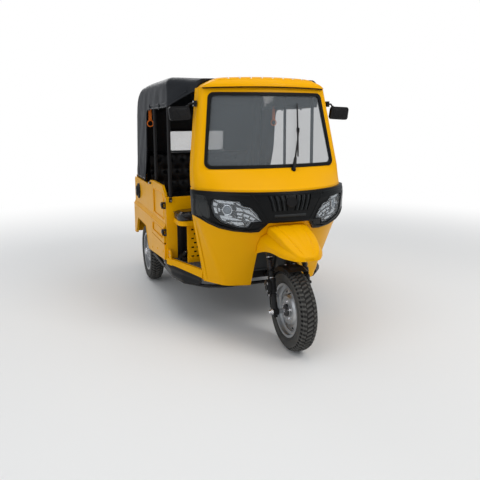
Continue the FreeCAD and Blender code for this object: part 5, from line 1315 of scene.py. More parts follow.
def make_partition_fittings():
    """A rubber-tipped hook at each end of the partition, a roll along its top, and the sill brackets."""
    hooks = bmesh.new()
    bright = bmesh.new()
    for side in (-1, 1):
        side_block(hooks, side, (0.594, 0.9185, 0.897), (0.616, 0.9297, 0.931))
        turned(hooks, [(0, 0), (0.010, 0), (0.012, 0.004), (0.012, 0.012), (0.008, 0.015), (0, 0.016)],
               at(side * 0.605, 0.9190, 0.912), (0, -1, 0), 20)
        bolt(bright, at(side * 0.605, 0.9035, 0.912), (0, -1, 0), 0.0040, 0.0035)
    mesh_piece("partition_hooks", hooks, "trim", bevel=0.001)
    mesh_piece("partition_hook_bolts", bright, "chrome")
    tubes("partition_top_roll", [[at(x, 0.943, 0.9325) for x in (-0.636, -0.3, 0.0, 0.3, 0.636)]], 0.0045,
          "yellow")
    brackets = bmesh.new()
    bolts = bmesh.new()
    for side in (-1, 1):
        profile = [(0.8600, 0.4655), (0.9285, 0.4655), (0.9285, 0.5330), (0.8830, 0.5330), (0.8660, 0.5100)]
        skin(brackets, [[at(side * x, y, z) for y, z in profile] for x in (0.6200, 0.6300)])
        for y, z in ((0.880, 0.488), (0.912, 0.488), (0.905, 0.515)):
            bolt(bolts, at(side * 0.6300, y, z), (side, 0, 0), 0.0038, 0.0035)
    mesh_piece("sill_brackets", brackets, "yellow", bevel=0.0015)
    mesh_piece("sill_bracket_bolts", bolts, "chrome")


def make_brake_lever():
    """The parking brake's ribbed grip with its boot and button."""
    start = at(BRAKE_X, 0.815, 0.5025)
    end = at(BRAKE_X, 0.757, 0.5373)
    way = (end - start).normalized()
    length = (end - start).length
    bm = bmesh.new()
    outline = [(0.0085, 0.0)]
    for i in range(7):
        base = length * (i + 0.1) / 7.4
        outline += [(0.0150, base), (0.0155, base + 0.003), (0.0155, base + 0.005), (0.0140, base + 0.007)]
    outline += [(0.0130, length), (0.0100, length + 0.004), (0, length + 0.005)]
    turned(bm, outline, start, way, 24)
    turned(bm, [(0.030, 0.0), (0.030, 0.004), (0.022, 0.010), (0.024, 0.014), (0.017, 0.022), (0.018, 0.026),
                (0.011, 0.036), (0.0085, 0.040)], at(BRAKE_X, 0.862, 0.474), at(0, 0, 0) - at(0, 1.0, -0.6),
           24)
    mesh_piece("brake_lever_grip", bm, "rubber")
    bm = bmesh.new()
    turned(bm, [(0.0045, 0.0), (0.0045, 0.008), (0.003, 0.010), (0, 0.010)], end + way * 0.004, way, 16)
    mesh_piece("brake_lever_button", bm, "chrome")


def make_mats():
    """Ribbed rubber mats on the floors and on the bench's base, and rivets along the rear floor."""
    bm = bmesh.new()
    outline = [(-0.400, 0.452), (0.400, 0.452), (0.405, 0.560), (0.500, 0.744), (-0.500, 0.744),
               (-0.405, 0.560)]
    skin(bm, [[at(x, y, z) for x, y in outline] for z in (0.4552, 0.4572)])
    for i in range(46):
        x = -0.495 + i * 0.022
        start = 0.458 if abs(x) < 0.395 else 0.570 + (abs(x) - 0.405) * 1.95
        if start < 0.735:
            block(bm, at(x - 0.0042, start, 0.4570), at(x + 0.0042, 0.740, 0.4602))
    block(bm, at(-0.600, 0.966, 0.4552), at(0.600, 1.682, 0.4572))
    for i in range(42):
        x = -0.5925 + i * 0.0282
        block(bm, at(x - 0.005, 0.972, 0.4570), at(x + 0.005, 1.676, 0.4600))
    block(bm, at(-0.545, 1.690, 0.6352), at(0.545, 1.727, 0.6372))
    mesh_piece("floor_mats", bm, "mat", bevel=0.0006)
    bm = bmesh.new()
    for i in range(9):
        y = 1.020 + i * 0.072
        for x in (-0.606, 0.606):
            turned(bm, [(0.006, 0.0), (0.006, 0.0012), (0.003, 0.0022), (0, 0.0024)], at(x, y, 0.4550),
                   (0, 0, 1), 10)
    mesh_piece("floor_rivets", bm, "silver")


def make_mirror_details():
    """Moulded relief on the mirror shells, and two bright bolts on each bracket."""
    relief = bmesh.new()
    bolts = bmesh.new()
    for side in (-1, 1):
        for outline, out in (
            (((0.548, 1.530), (0.668, 1.523), (0.677, 1.594), (0.560, 1.599)), 0.0026),
            (((0.566, 1.540), (0.612, 1.537), (0.640, 1.585), (0.575, 1.589)), 0.0046),
            (((0.626, 1.536), (0.660, 1.534), (0.667, 1.584), (0.652, 1.585)), 0.0046),
        ):
            face = [at(side * x, 0.5142, z) for x, z in outline]
            middle = sum(face, Vector()) / len(face)
            top = [p.lerp(middle, 0.07) + Vector((0, -out, 0)) for p in face]
            skin(relief, [face, top])
        for up in (-0.011, 0.011):
            bolt(bolts, at(side * 0.5158, 0.520, 1.628 + up), (side, 0, 0), 0.0052, 0.0045)
        turned(relief, [(0.0095, -0.004), (0.0095, 0.012), (0.006, 0.014), (0, 0.0145)],
               at(side * 0.556, 0.526, 1.604), (0, 0, 1), 18)
    mesh_piece("mirror_relief", relief, "trim", bevel=0.0012)
    mesh_piece("mirror_bolts", bolts, "chrome")


def leg_y(z):
    """How far behind the axle the fork's legs are at a height."""
    return (z - TYRE_RADIUS) * LEG_SLOPE


def leg_point(x, z):
    """A point on a fork leg's middle line."""
    return at(x, leg_y(z), z)


def helix(foot, way, radius, rise, turns):
    """Points of a coil from foot along way."""
    way = way.normalized()
    side = way.orthogonal().normalized()
    other = way.cross(side)
    count = int(turns * 14)
    points = []
    for i in range(count + 1):
        angle = 2 * math.pi * turns * i / count
        out = side * math.cos(angle) + other * math.sin(angle)
        points.append(foot + way * (rise * i / count) + out * radius)
    return points


def make_fork_details():
    """Coils, collars, dust seals, lugs and clamps on the fork, and the front brake's plate and cable."""
    coils = []
    black = bmesh.new()
    bright = bmesh.new()
    for side in (-1, 1):
        x = side * LEG_X
        coils.append(helix(leg_point(x, 0.5365), LEG_WAY, 0.0180, 0.0715, 7.5))
        turned(bright, [(0.0075, -0.001), (0.0190, 0.0), (0.0215, 0.003), (0.0215, 0.006), (0.0185, 0.009),
                        (0.0075, 0.009)], leg_point(x, 0.6135), LEG_WAY, 28)
        turned(black,
               [(0.0185, -0.012), (0.0215, -0.010), (0.0220, -0.004), (0.0200, 0.003), (0.0205, 0.006),
                       (0.0170, 0.009), (0.0080, 0.010)], leg_point(x, 0.5250), LEG_WAY, 28)
        turned(black, [(0.0180, 0.0), (0.0230, 0.004), (0.0230, 0.020), (0.0180, 0.026)],
               leg_point(x, 0.425),
               LEG_WAY, 28)
        turned(black, [(0.0180, 0.0), (0.0225, 0.006), (0.0225, 0.012), (0.0180, 0.016)],
               leg_point(x, 0.372),
               LEG_WAY, 28)
        for z in (0.434, 0.378):
            y = leg_y(z)
            x0, x1 = sorted((x + side * 0.010, x + side * 0.031))
            block(black, at(x0, y - 0.012, z - 0.009), at(x1, y + 0.012, z + 0.009))
            bolt(bright, at(x + side * 0.031, y, z), (side, 0, 0), 0.0052, 0.005)
        block(black, at(x - 0.013, -0.012, 0.236), at(x + 0.013, 0.034, 0.262))
        turned(bright, [(0.0135, -0.001), (0.0135, 0.006), (0.011, 0.009), (0, 0.010)],
               at(side * 0.163, 0, TYRE_RADIUS), (side, 0, 0), 24)
        turned(bright, [(0.020, 0.0), (0.020, 0.003), (0.012, 0.003)], at(side * 0.1455, 0, TYRE_RADIUS),
               (side, 0, 0), 28)
    for x, y, radius, height in ((LEG_X, 0.110, 0.0100, 0.0080), (0.040, 0.140, 0.0070, 0.0060)):
        for side in (-1, 1):
            bolt(bright, at(side * x, y, 0.656), (0, 0, 1), radius, height)
    turned(black, [(0.0, 0.0), (0.062, 0.0), (0.070, 0.004), (0.070, 0.013), (0.030, 0.016), (0.0, 0.016)],
           at(0.0570, 0, TYRE_RADIUS), (1, 0, 0), 40)
    link = []
    for point, wide in (((0.066, 0.020, 0.325), 0.010), ((0.100, 0.042, 0.400), 0.008)):
        link.append([at(*point) + Vector((dx, dy, 0)) for dx, dy in
                     ((-0.004, -wide), (0.004, -wide), (0.004, wide), (-0.004, wide))])
    skin(black, link)
    mesh_piece("fork_castings", black, "black_steel", "steering", bevel=0.0012)
    mesh_piece("fork_bright_parts", bright, "chrome", "steering", bevel=0.0006)
    tubes("fork_coil_wires", coils, 0.0034, "dark_steel", "steering")
    cable = [at(0.070, -0.052, 0.300), at(0.092, -0.060, 0.380), at(0.110, -0.010, 0.470),
             at(0.100, 0.050, 0.560),
             at(0.070, 0.090, 0.628)]
    hose = [at(-0.150, 0.020, 0.300), at(-0.152, 0.030, 0.380), at(-0.151, 0.052, 0.470),
            at(-0.148, 0.084, 0.560),
            at(-0.110, 0.104, 0.626)]
    tubes("fork_brake_cable", [cable, hose], 0.0036, "rubber", "steering")
    bm = bmesh.new()
    for z in (0.400, 0.480):
        y = leg_y(z)
        turned(bm, [(0.0195, 0.0), (0.0205, 0.002), (0.0205, 0.008), (0.0195, 0.010)], leg_point(-LEG_X, z),
               LEG_WAY, 24)
        block(bm, at(-0.155, y - 0.006, z + 0.001), at(-0.140, y + 0.006, z + 0.009))
    mesh_piece("fork_hose_clips", bm, "silver", "steering", bevel=0.0006)


def make_mudguard_details():
    """A rolled edge on each side of the inner mudguard, and its stay's bolts."""
    edges = []
    radius = TYRE_RADIUS + 0.018 - 0.026
    for side in (-1, 1):
        path = []
        for i in range(15):
            angle = math.radians(96 - 92 * i / 14)
            path.append(at(side * 0.0685, radius * math.cos(angle), TYRE_RADIUS + radius * math.sin(angle)))
        edges.append(path)
    tubes("mudguard_edges", edges, 0.0034, "black_steel", "steering")
    bm = bmesh.new()
    for angle in (62, 80):
        out = spoke(math.radians(angle))
        centre = at(0, 0, TYRE_RADIUS) + out * (TYRE_RADIUS + 0.0268)
        for x in (-0.030, 0.030):
            bolt(bm, centre + Vector((x, 0, 0)), out, 0.0055, 0.005)
    mesh_piece("mudguard_bolts", bm, "chrome", "steering")


def make_wheel_details():
    """Dark vent rings, a pressed ridge on each disc, and a hub flange."""
    for name, centre, body, outward in WHEELS:
        axis = Vector((outward, 0, 0))
        dark = bmesh.new()
        ridge = bmesh.new()
        for k in range(8):
            out = spoke(2 * math.pi * (k + 0.5) / 8)
            place = centre + out * 0.124 + axis * 0.0185
            turned(dark, [(0.0092, -0.004), (0.0115, 0.0012), (0.0100, 0.0024), (0.0085, 0.0010),
                          (0.0082, -0.004)],
                   place, axis * 0.93 + out * 0.36, 18)
        turned(ridge, [(0.044, 0.0385), (0.047, 0.0405), (0.050, 0.0410), (0.053, 0.0400)], centre, axis, 48)
        turned(ridge, [(0.0720, 0.0382), (0.0740, 0.0402), (0.0770, 0.0402), (0.0800, 0.0380)], centre, axis,
               48)
        turned(ridge, [(0.1660, 0.0525), (0.1790, 0.0535), (0.1800, 0.0515), (0.1780, 0.0505)], centre, axis,
               64)
        mesh_piece(name + "_vent_rings", dark, "black_steel", body)
        mesh_piece(name + "_rim_ridges", ridge, "silver", body, sharp=60)
        if name == "front":
            disc = bmesh.new()
            turned(disc,
                   [(0.030, 0.0400), (0.041, 0.0405), (0.041, 0.0520), (0.033, 0.0535), (0.018, 0.0540)],
                   centre, axis, 40)
            mesh_piece("front_hub_flange", disc, "iron", body)


def make_handlebar_details():
    """Ribbed grips, levers with their clamps, and switch pods."""
    grips = bmesh.new()
    pods = bmesh.new()
    levers = []
    for side in (-1, 1):
        end = at(side * 0.285, 0.4894, 1.045)
        knee = at(side * 0.165, 0.4074, 1.048)
        way = (knee - end).normalized()
        outline = [(0.0, -0.004), (0.0200, -0.003), (0.0215, 0.0), (0.0215, 0.004)]
        for i in range(16):
            base = 0.006 + i * 0.0064
            outline += [(0.0180, base), (0.0190, base + 0.0016), (0.0190, base + 0.0040),
                        (0.0180, base + 0.0056)]
        outline += [(0.0200, 0.1100), (0.0200, 0.1140), (0.0115, 0.1150)]
        turned(grips, outline, end, way, 24)
        pod = end + way * 0.122
        turned(pods, [(0.0115, 0.0), (0.0210, 0.001), (0.0220, 0.004), (0.0220, 0.024), (0.0200, 0.027),
                      (0.0115, 0.028)], pod, way, 24)
        block(pods, pod + way * 0.014 + Vector((-0.010, -0.020, 0.010)),
              pod + way * 0.014 + Vector((0.010, 0.006, 0.027)))
        pivot = pod + way * 0.020 + Vector((0, -0.021, 0))
        steps = ((0.0, 0.0, 0.0), (0.022, 0.001, -0.004), (0.052, 0.020, -0.006), (0.082, 0.040, -0.004),
                 (0.090, 0.045, -0.001))
        levers.append([pivot + Vector((side * x, y, z)) for x, y, z in steps])
    mesh_piece("handlebar_grips", grips, "rubber", "steering")
    mesh_piece("handlebar_pods", pods, "trim", "steering", bevel=0.0012)
    tubes("handlebar_levers", levers, 0.0052, "silver", "steering")
    bm = bmesh.new()
    y = 0.2894
    for x in (-0.026, 0.026):
        for back in (0.006, 0.066):
            bolt(bm, at(x, y + back, 1.056), (0, 0, 1), 0.0075, 0.007)
    turned(bm, [(0.014, 0.0), (0.014, 0.010), (0.011, 0.013), (0, 0.014)], at(0, y + 0.030, 1.056),
           (0, 0, 1), 24)
    mesh_piece("handlebar_clamp_bolts", bm, "chrome", "steering")


def make_dashboard_details():
    """An instrument pod with a plain dial, round vents, slots, a switch and edge trim on the dashboard."""
    face = 0.205
    bm = bmesh.new()
    rings = []
    for y, grow in ((face - 0.002, 0.0), (face + 0.016, -0.002), (face + 0.022, -0.012)):
        half = 0.098 + grow
        high = 1.040 + grow
        low = 0.948 - grow
        rings.append([at(x, y, z) for x,
                      z in ((-half, low + 0.012), (-half + 0.012, low), (half - 0.012, low),
                                               (half, low + 0.012), (half, high - 0.012),
                                               (half - 0.012, high),
                                               (-half + 0.012, high), (-half, high - 0.012))])
    skin(bm, rings)
    for x in (-0.245, 0.245):
        turned(bm, [(0.0, -0.001), (0.034, -0.001), (0.036, 0.004), (0.034, 0.007), (0.029, 0.005),
                    (0.0, 0.005)],
               at(x, face, 0.985), (0, 1, 0), 32)
        for k in range(-2, 3):
            block(bm, at(x - 0.027 + abs(k) * 0.002, face + 0.004, 0.985 + k * 0.010 - 0.002),
                  at(x + 0.027 - abs(k) * 0.002, face + 0.0085, 0.985 + k * 0.010 + 0.002))
    for k in range(5):
        for x0, x1 in ((-0.185, -0.160), (0.155, 0.180)):
            block(bm, at(x0, face - 0.001, 0.925 + k * 0.018), at(x1, face + 0.006, 0.937 + k * 0.018))
    mesh_piece("dashboard_pod", bm, "trim", bevel=0.0010)
    dial = bmesh.new()
    turned(dial, [(0.0, 0.0), (0.034, 0.0), (0.034, 0.0012), (0, 0.0012)], at(0, face + 0.0215, 0.994),
           (0, 1, 0), 40)
    for k in range(13):
        angle = math.radians(-125 + 250 * k / 12)
        out = Vector((math.sin(angle), 0, math.cos(angle)))
        across = Vector((out.z, 0, -out.x))
        foot = at(0, face + 0.0226, 0.994)
        rings = [[foot + out * r + across * w + Vector((0, h, 0)) for w, h in
                  ((-0.0006, 0), (0.0006, 0), (0.0006, 0.0004), (-0.0006, 0.0004))]
                 for r in (0.0270, 0.0315)]
        skin(dial, rings)
    mesh_piece("dashboard_dial", dial, "dial")
    ring = bmesh.new()
    turned(ring, [(0.034, 0.0), (0.036, 0.0035), (0.0385, 0.0035), (0.0395, 0.0)],
           at(0, face + 0.0210, 0.994),
           (0, 1, 0), 40)
    turned(ring, [(0.0, 0.0), (0.010, 0.0), (0.010, 0.005), (0.0075, 0.007), (0.0, 0.007)],
           at(0.075, face + 0.0205, 0.965), (0, 1, 0), 20)
    mesh_piece("dashboard_bezel", ring, "chrome")
    tubes("dashboard_edge", [[at(x, face + 0.001, 1.0445) for x in (-0.36, -0.2, 0.0, 0.2, 0.36)],
                             [at(x, face + 0.001, 0.9065) for x in (-0.34, -0.2, 0.0, 0.2, 0.34)]], 0.003,
          "rubber")


def make_side_beads():
    """Pressed beads round the fields of the doors and along the swage of each side."""
    low_field = [(1.013, 0.600), (1.427, 0.600), (1.427, 0.672), (1.013, 0.672)]
    high_field = [(1.013, 0.750), (1.427, 0.750), (1.427, 0.954), (1.043, 0.954), (1.013, 0.912)]
    for name, side in (("left", 1), ("right", -1)):
        loops = []
        for field, x in ((low_field, SIDE_LOW_X), (high_field, SIDE_HIGH_X)):
            corners = [at(side * (x + 0.0008), y, z) for y, z in field]
            loops.append(rounded_loop(corners, 0.016, 3))
        tubes("door_field_beads_" + name, loops, 0.0034, "yellow", "door_" + name, cyclic=True)
        lines = [[at(side * (x + 0.0004), y, z) for y in (0.972, 1.1, 1.3, 1.468)]
                 for x, z in ((SIDE_LOW_X, SWAGE_LOW_Z), (SIDE_HIGH_X, SWAGE_HIGH_Z))]
        tubes("door_swage_beads_" + name, lines, 0.0034, "yellow", "door_" + name)
    lines = []
    for side in (-1, 1):
        for x, z in ((SIDE_LOW_X, SWAGE_LOW_Z), (SIDE_HIGH_X, SWAGE_HIGH_Z)):
            lines.append([at(side * (x + 0.0004), y, z) for y in (1.480, 1.7, 2.1, 2.440)])
    tubes("side_swage_beads", lines, 0.0036, "yellow")


def make_step_apron():
    """A black apron with ribs, from the lower edge of each sill down to the side guard bar."""
    top = [(0.462, 0.568, 0.374), (0.555, 0.748, 0.396), (0.642, 0.929, 0.417), (0.640, 1.100, 0.426)]
    low = [(0.470, 0.586, 0.324), (0.572, 0.722, 0.324), (0.609, 0.860, 0.324), (0.613, 1.100, 0.324)]
    bm = bmesh.new()
    ribs = []
    for side in (-1, 1):
        rings = []
        for i in range(25):
            t = 3 * i / 24
            k = min(int(t), 2)
            a = Vector(top[k]).lerp(Vector(top[k + 1]), t - k)
            b = Vector(low[k]).lerp(Vector(low[k + 1]), t - k)
            row = [a.lerp(b, j / 8) + Vector((0.004 * math.sin(math.pi * 3 * j / 8), 0, 0))
                   for j in range(9)]
            rings.append([at(side * p.x, p.y, p.z) for p in row])
        open_skin(bm, rings)
        ribs.append([at(side * p[0], p[1], p[2]) for p in top])
    mesh_piece("step_apron", bm, "black_steel", thickness=0.003)
    tubes("step_apron_edge", ribs, 0.0065, "black_steel")


def make_fork_sliders():
    """Cast sliders with ribs round the lower legs, and the caliper bracket on the right one."""
    bm = bmesh.new()
    for side in (-1, 1):
        x = side * LEG_X
        outline = [(0.0170, -0.004), (0.0250, 0.0), (0.0262, 0.006), (0.0262, 0.020), (0.0240, 0.024),
                   (0.0240, 0.070),
                   (0.0262, 0.074), (0.0262, 0.086), (0.0225, 0.092), (0.0180, 0.094)]
        turned(bm, outline, leg_point(x, 0.395), LEG_WAY, 32)
        turned(bm, [(0.0180, 0.0), (0.0240, 0.003), (0.0240, 0.012), (0.0210, 0.016), (0.0240, 0.020),
                    (0.0240, 0.026), (0.0180, 0.030)], leg_point(x, 0.500), LEG_WAY, 32)
    profile = [(0.030, 0.478), (-0.012, 0.470), (-0.030, 0.430), (-0.020, 0.398), (0.020, 0.404),
               (0.050, 0.440)]
    rings = [[at(x, y + 0.035, z) for y, z in profile] for x in (-0.1720, -0.1480)]
    skin(bm, rings)
    rings = [[at(x, y * 0.6 + 0.035, 0.438 + (z - 0.438) * 0.6) for y, z in profile]
             for x in (-0.1765, -0.1715)]
    skin(bm, rings)
    mesh_piece("fork_sliders", bm, "black_steel", "steering", bevel=0.0014)
    bm = bmesh.new()
    for y, z in ((0.020, 0.462), (0.058, 0.440), (0.022, 0.412)):
        bolt(bm, at(-0.1720, y, z), (-1, 0, 0), 0.0055, 0.005)
    mesh_piece("fork_slider_bolts", bm, "silver", "steering")


# More reflector facets, each one's corners as (x, z), and how far its face stands out of the nose
SMALL_REFLECTORS = (
    (((0.300, 0.990), (0.330, 0.992), (0.322, 0.984), (0.306, 0.982)), 0.0100),
    (((0.345, 0.992), (0.395, 0.996), (0.388, 0.989), (0.350, 0.987)), 0.0108),
    (((0.405, 0.997), (0.460, 1.000), (0.452, 0.994), (0.408, 0.991)), 0.0108),
    (((0.440, 0.975), (0.464, 0.988), (0.468, 0.962), (0.448, 0.957)), 0.0100),
    (((0.336, 0.922), (0.302, 0.918), (0.312, 0.902), (0.338, 0.908)), 0.0100),
    (((0.296, 0.915), (0.262, 0.902), (0.270, 0.888), (0.302, 0.899)), 0.0100),
    (((0.256, 0.898), (0.228, 0.880), (0.240, 0.870), (0.264, 0.884)), 0.0095),
    (((0.286, 0.884), (0.262, 0.876), (0.268, 0.866), (0.290, 0.872)), 0.0105),
    (((0.330, 0.898), (0.306, 0.894), (0.304, 0.884), (0.334, 0.888)), 0.0105),
    (((0.404, 0.905), (0.360, 0.898), (0.366, 0.890), (0.406, 0.896)), 0.0105),
    (((0.425, 0.880), (0.395, 0.872), (0.398, 0.862), (0.418, 0.868)), 0.0105),
    (((0.350, 0.846), (0.322, 0.840), (0.326, 0.830), (0.346, 0.834)), 0.0105),
    (((0.390, 0.858), (0.358, 0.848), (0.362, 0.840), (0.388, 0.850)), 0.0105),
    (((0.318, 0.942), (0.340, 0.945), (0.342, 0.935), (0.322, 0.932)), 0.0110),
    (((0.430, 0.948), (0.442, 0.950), (0.438, 0.925), (0.428, 0.922)), 0.0110),
    (((0.286, 0.940), (0.270, 0.935), (0.262, 0.922), (0.280, 0.926)), 0.0118),
)


def make_lamp_facets():
    """Small bright facets between the large ones, and a thin bright line round each lamp."""
    bm = bmesh.new()
    for side in (-1, 1):
        for outline, out in SMALL_REFLECTORS:
            nose_plate(bm, outline, 0.0030, out, side, 0.0008, cuts=1)
        rim = grown(LAMP_OUTLINE, -0.0075)
        mask_strip(bm, [(side * x, z) for x, z in rim + rim[:1]], 0.0042, 0.0030, 0.0112, 4)
    mesh_piece("headlamp_facets", bm, "reflector", sharp=20)


def rounded_loop(points, radius, steps=5):
    """A closed line through 3-D corners, rounded at each of them."""
    loop = []
    count = len(points)
    for i, corner in enumerate(points):
        back = (points[i - 1] - corner).normalized() * radius
        ahead = (points[(i + 1) % count] - corner).normalized() * radius
        for k in range(steps + 1):
            t = k / steps
            loop.append(corner + back * (1 - t) ** 2 + ahead * t ** 2)
    return loop


# The canopy's back line and its window's corners
BACK_LINE = ((1.415, 2.376), (1.32, 2.394), (1.24, 2.407), (1.12, 2.425), (0.981, 2.442))
WINDOW_CORNERS = ((-0.300, 1.415), (0.300, 1.415), (0.300, 1.205), (-0.300, 1.205))


def back_y(z):
    """The canopy's back line at a height."""
    for (z0, y0), (z1, y1) in zip(BACK_LINE, BACK_LINE[1:]):
        if z >= z1:
            return y0 + (y1 - y0) * (z0 - z) / (z0 - z1)
    return BACK_LINE[-1][1]


def make_canopy_details():
    """Window binding and stitching, hems, snap fasteners and strap ends."""
    corners = [at(x, back_y(z) + 0.0005, z) for x, z in WINDOW_CORNERS]
    tubes("canopy_window_binding", [rounded_loop(corners, 0.034)], 0.0070, "seat_piping", cyclic=True)
    inner = rounded_loop([c.lerp(at(0, back_y(1.31), 1.31), 0.055) for c in corners], 0.030)
    tubes("canopy_window_stitching", [inner], 0.0016, "trim", cyclic=True)
    _, edge = canopy_side()
    hems = []
    for side in (-1, 1):
        hems.append([at(side * (canopy_half(y) - 0.001), y, z + 0.003) for y, z in edge[:17]])
        hems.append([at(side * (canopy_half(y) - 0.005), y, z + 0.028) for y, z in edge[1:8]])
    tubes("canopy_hems", hems, 0.0046, "canopy")
    fasteners = bmesh.new()
    straps = bmesh.new()
    for side in (-1, 1):
        for k in range(7):
            y = 1.985 + k * 0.065
            turned(fasteners, SNAP, at(side * 0.6175, y, 0.982), (side, 0, 0), 16)
        for y in (1.20, 1.60):
            side_block(straps, side, (0.6165, y - 0.013, 1.600), (0.6235, y + 0.013, 1.650))
    for k in range(13):
        x = -0.54 + k * 0.09
        turned(fasteners, SNAP, at(x, back_y(1.0) - 0.001, 1.002), (0, 1, 0), 16)
    mesh_piece("canopy_fasteners", fasteners, "silver")
    mesh_piece("canopy_strap_ends", straps, "canopy", bevel=0.002)


def make_side_details():
    """Edge rolls, arch lips and rivets on the side panels, and the fuel cap's ridges and lock."""
    arch = [(1.640, 0.386), (1.672, 0.386), (1.772, 0.570), (1.800, 0.5725), (2.200, 0.5725), (2.230, 0.570),
            (2.350, 0.398), (2.380, 0.397)]
    top = [(1.482, 1.010), (1.560, 1.007), (1.655, 0.9585), (1.70, 0.957), (2.05, 0.957), (2.405, 0.957)]
    rolls = []
    bolts = bmesh.new()
    for side in (-1, 1):
        rolls.append([at(side * 0.6535, y, z) for y, z in arch])
        rolls.append([at(side * 0.6385, y, z) for y, z in top])
        rolls.append([at(side * 0.6545, y, z) for y, z in ((2.3855, 0.3975), (2.449, 0.3975))])
        for y, z in ((1.010, 0.500), (1.250, 0.470), (1.480, 0.430), (2.415, 0.450), (2.415, 0.640)):
            turned(bolts, [(0.0075, 0.0), (0.0065, 0.0030), (0.003, 0.0042), (0, 0.0044)],
                   at(side * 0.6548, y, z), (side, 0, 0), 16)
    tubes("side_panel_rolls", rolls, 0.0046, "yellow")
    mesh_piece("side_panel_rivets", bolts, "yellow")
    cap = bmesh.new()
    centre = at(-0.6640, 2.190, 0.842)
    axis = Vector((-1, 0, 0))
    turned(cap,
           [(0.0, -0.001), (0.046, -0.001), (0.048, 0.002), (0.044, 0.005), (0.020, 0.006), (0.0, 0.006)],
           centre, axis, 40)
    for k in range(16):
        out = spoke(2 * math.pi * k / 16)
        turned(cap, [(0.0048, -0.004), (0.0048, 0.0030), (0.0030, 0.0042), (0, 0.0045)],
               centre + out * 0.0455, axis, 10)
    mesh_piece("fuel_cap_grip", cap, "trim", bevel=0.0008)
    lock = bmesh.new()
    turned(lock, [(0.0, 0.0055), (0.010, 0.0058), (0.010, 0.0085), (0.0, 0.0088)], centre, axis, 24)
    mesh_piece("fuel_cap_lock", lock, "chrome")


def make_rear_details():
    """Lamp lenses, reflectors, a bare number plate with its lamp, handles and rivets on the back."""
    face = 2.4803
    housings = bmesh.new()
    amber = bmesh.new()
    clear = bmesh.new()
    red = bmesh.new()
    bright = bmesh.new()
    for side in (-1, 1):
        outline = [at(side * x, 2.4525, z) for x,
                   z in ((0.464, 0.794), (0.596, 0.794), (0.596, 0.886), (0.464, 0.886))]
        front = [p + Vector((0, 0.012, 0)) for p in outline]
        skin(housings, [outline, front])
        for bm, x0, x1 in ((amber, 0.474, 0.504), (clear, 0.508, 0.530), (red, 0.534, 0.586)):
            low, high = sorted((side * x0, side * x1))
            block(bm, at(low, face - 0.002, 0.805), at(high, face + 0.0035, 0.875))
            for k in range(6):
                z = 0.811 + k * 0.0115
                block(bm, at(low + 0.002, face + 0.003, z), at(high - 0.002, face + 0.0050, z + 0.006))
        turned(red, [(0.024, 0.0), (0.024, 0.007), (0.021, 0.009), (0, 0.0105)],
               at(side * 0.560, 2.4522, 0.640),
               (0, 1, 0), 28)
        turned(housings, [(0.029, 0.0), (0.029, 0.004), (0.024, 0.005)], at(side * 0.560, 2.4522, 0.640),
               (0, 1, 0), 28)
        for z in (0.540, 0.760):
            turned(bright, [(0.0080, 0.0), (0.0070, 0.0030), (0.003, 0.0042), (0, 0.0045)],
                   at(side * 0.595, 2.4520, z), (0, 1, 0), 14)
    mesh_piece("tail_lamp_bases", housings, "trim", bevel=0.001)
    mesh_piece("tail_lamp_amber", amber, "amber", bevel=0.0008)
    mesh_piece("tail_lamp_clear", clear, "dial", bevel=0.0008)
    mesh_piece("tail_lamp_red", red, "red", bevel=0.0008)
    plate = bmesh.new()
    block(plate, at(-0.170, 2.4448, 0.560), at(0.170, 2.4468, 0.660))
    mesh_piece("number_plate_blank", plate, "dial", bevel=0.0006)
    holder = bmesh.new()
    block(holder, at(-0.178, 2.4440, 0.552), at(0.178, 2.4455, 0.668))
    block(holder, at(-0.060, 2.4440, 0.672), at(0.060, 2.4700, 0.694))
    for side in (-1, 1):
        x0, x1 = sorted((side * 0.250, side * 0.340))
        block(holder, at(x0, 2.4440, 0.796), at(x1, 2.4490, 0.834))
        for x in (x0 + 0.008, x1 - 0.016):
            block(holder, at(x, 2.4480, 0.804), at(x + 0.008, 2.4650, 0.826))
        block(holder, at(x0 + 0.006, 2.4620, 0.804), at(x1 - 0.006, 2.4690, 0.826))
    mesh_piece("rear_plate_holder", holder, "trim", bevel=0.0012)
    for x in (-0.140, 0.140):
        turned(bright, [(0.0060, 0.0), (0.0055, 0.0025), (0, 0.0035)], at(x, 2.4466, 0.610), (0, 1, 0), 14)
    mesh_piece("rear_rivets", bright, "chrome")
    caps = bmesh.new()
    for side in (-1, 1):
        for x in (0.200, 0.300):
            turned(caps, [(0.0215, -0.006), (0.0225, -0.004), (0.0225, 0.004), (0.0215, 0.006)],
                   at(side * x, 2.5685, 0.412), (1, 0, 0), 24)
    mesh_piece("rear_bumper_sleeves", caps, "rubber")


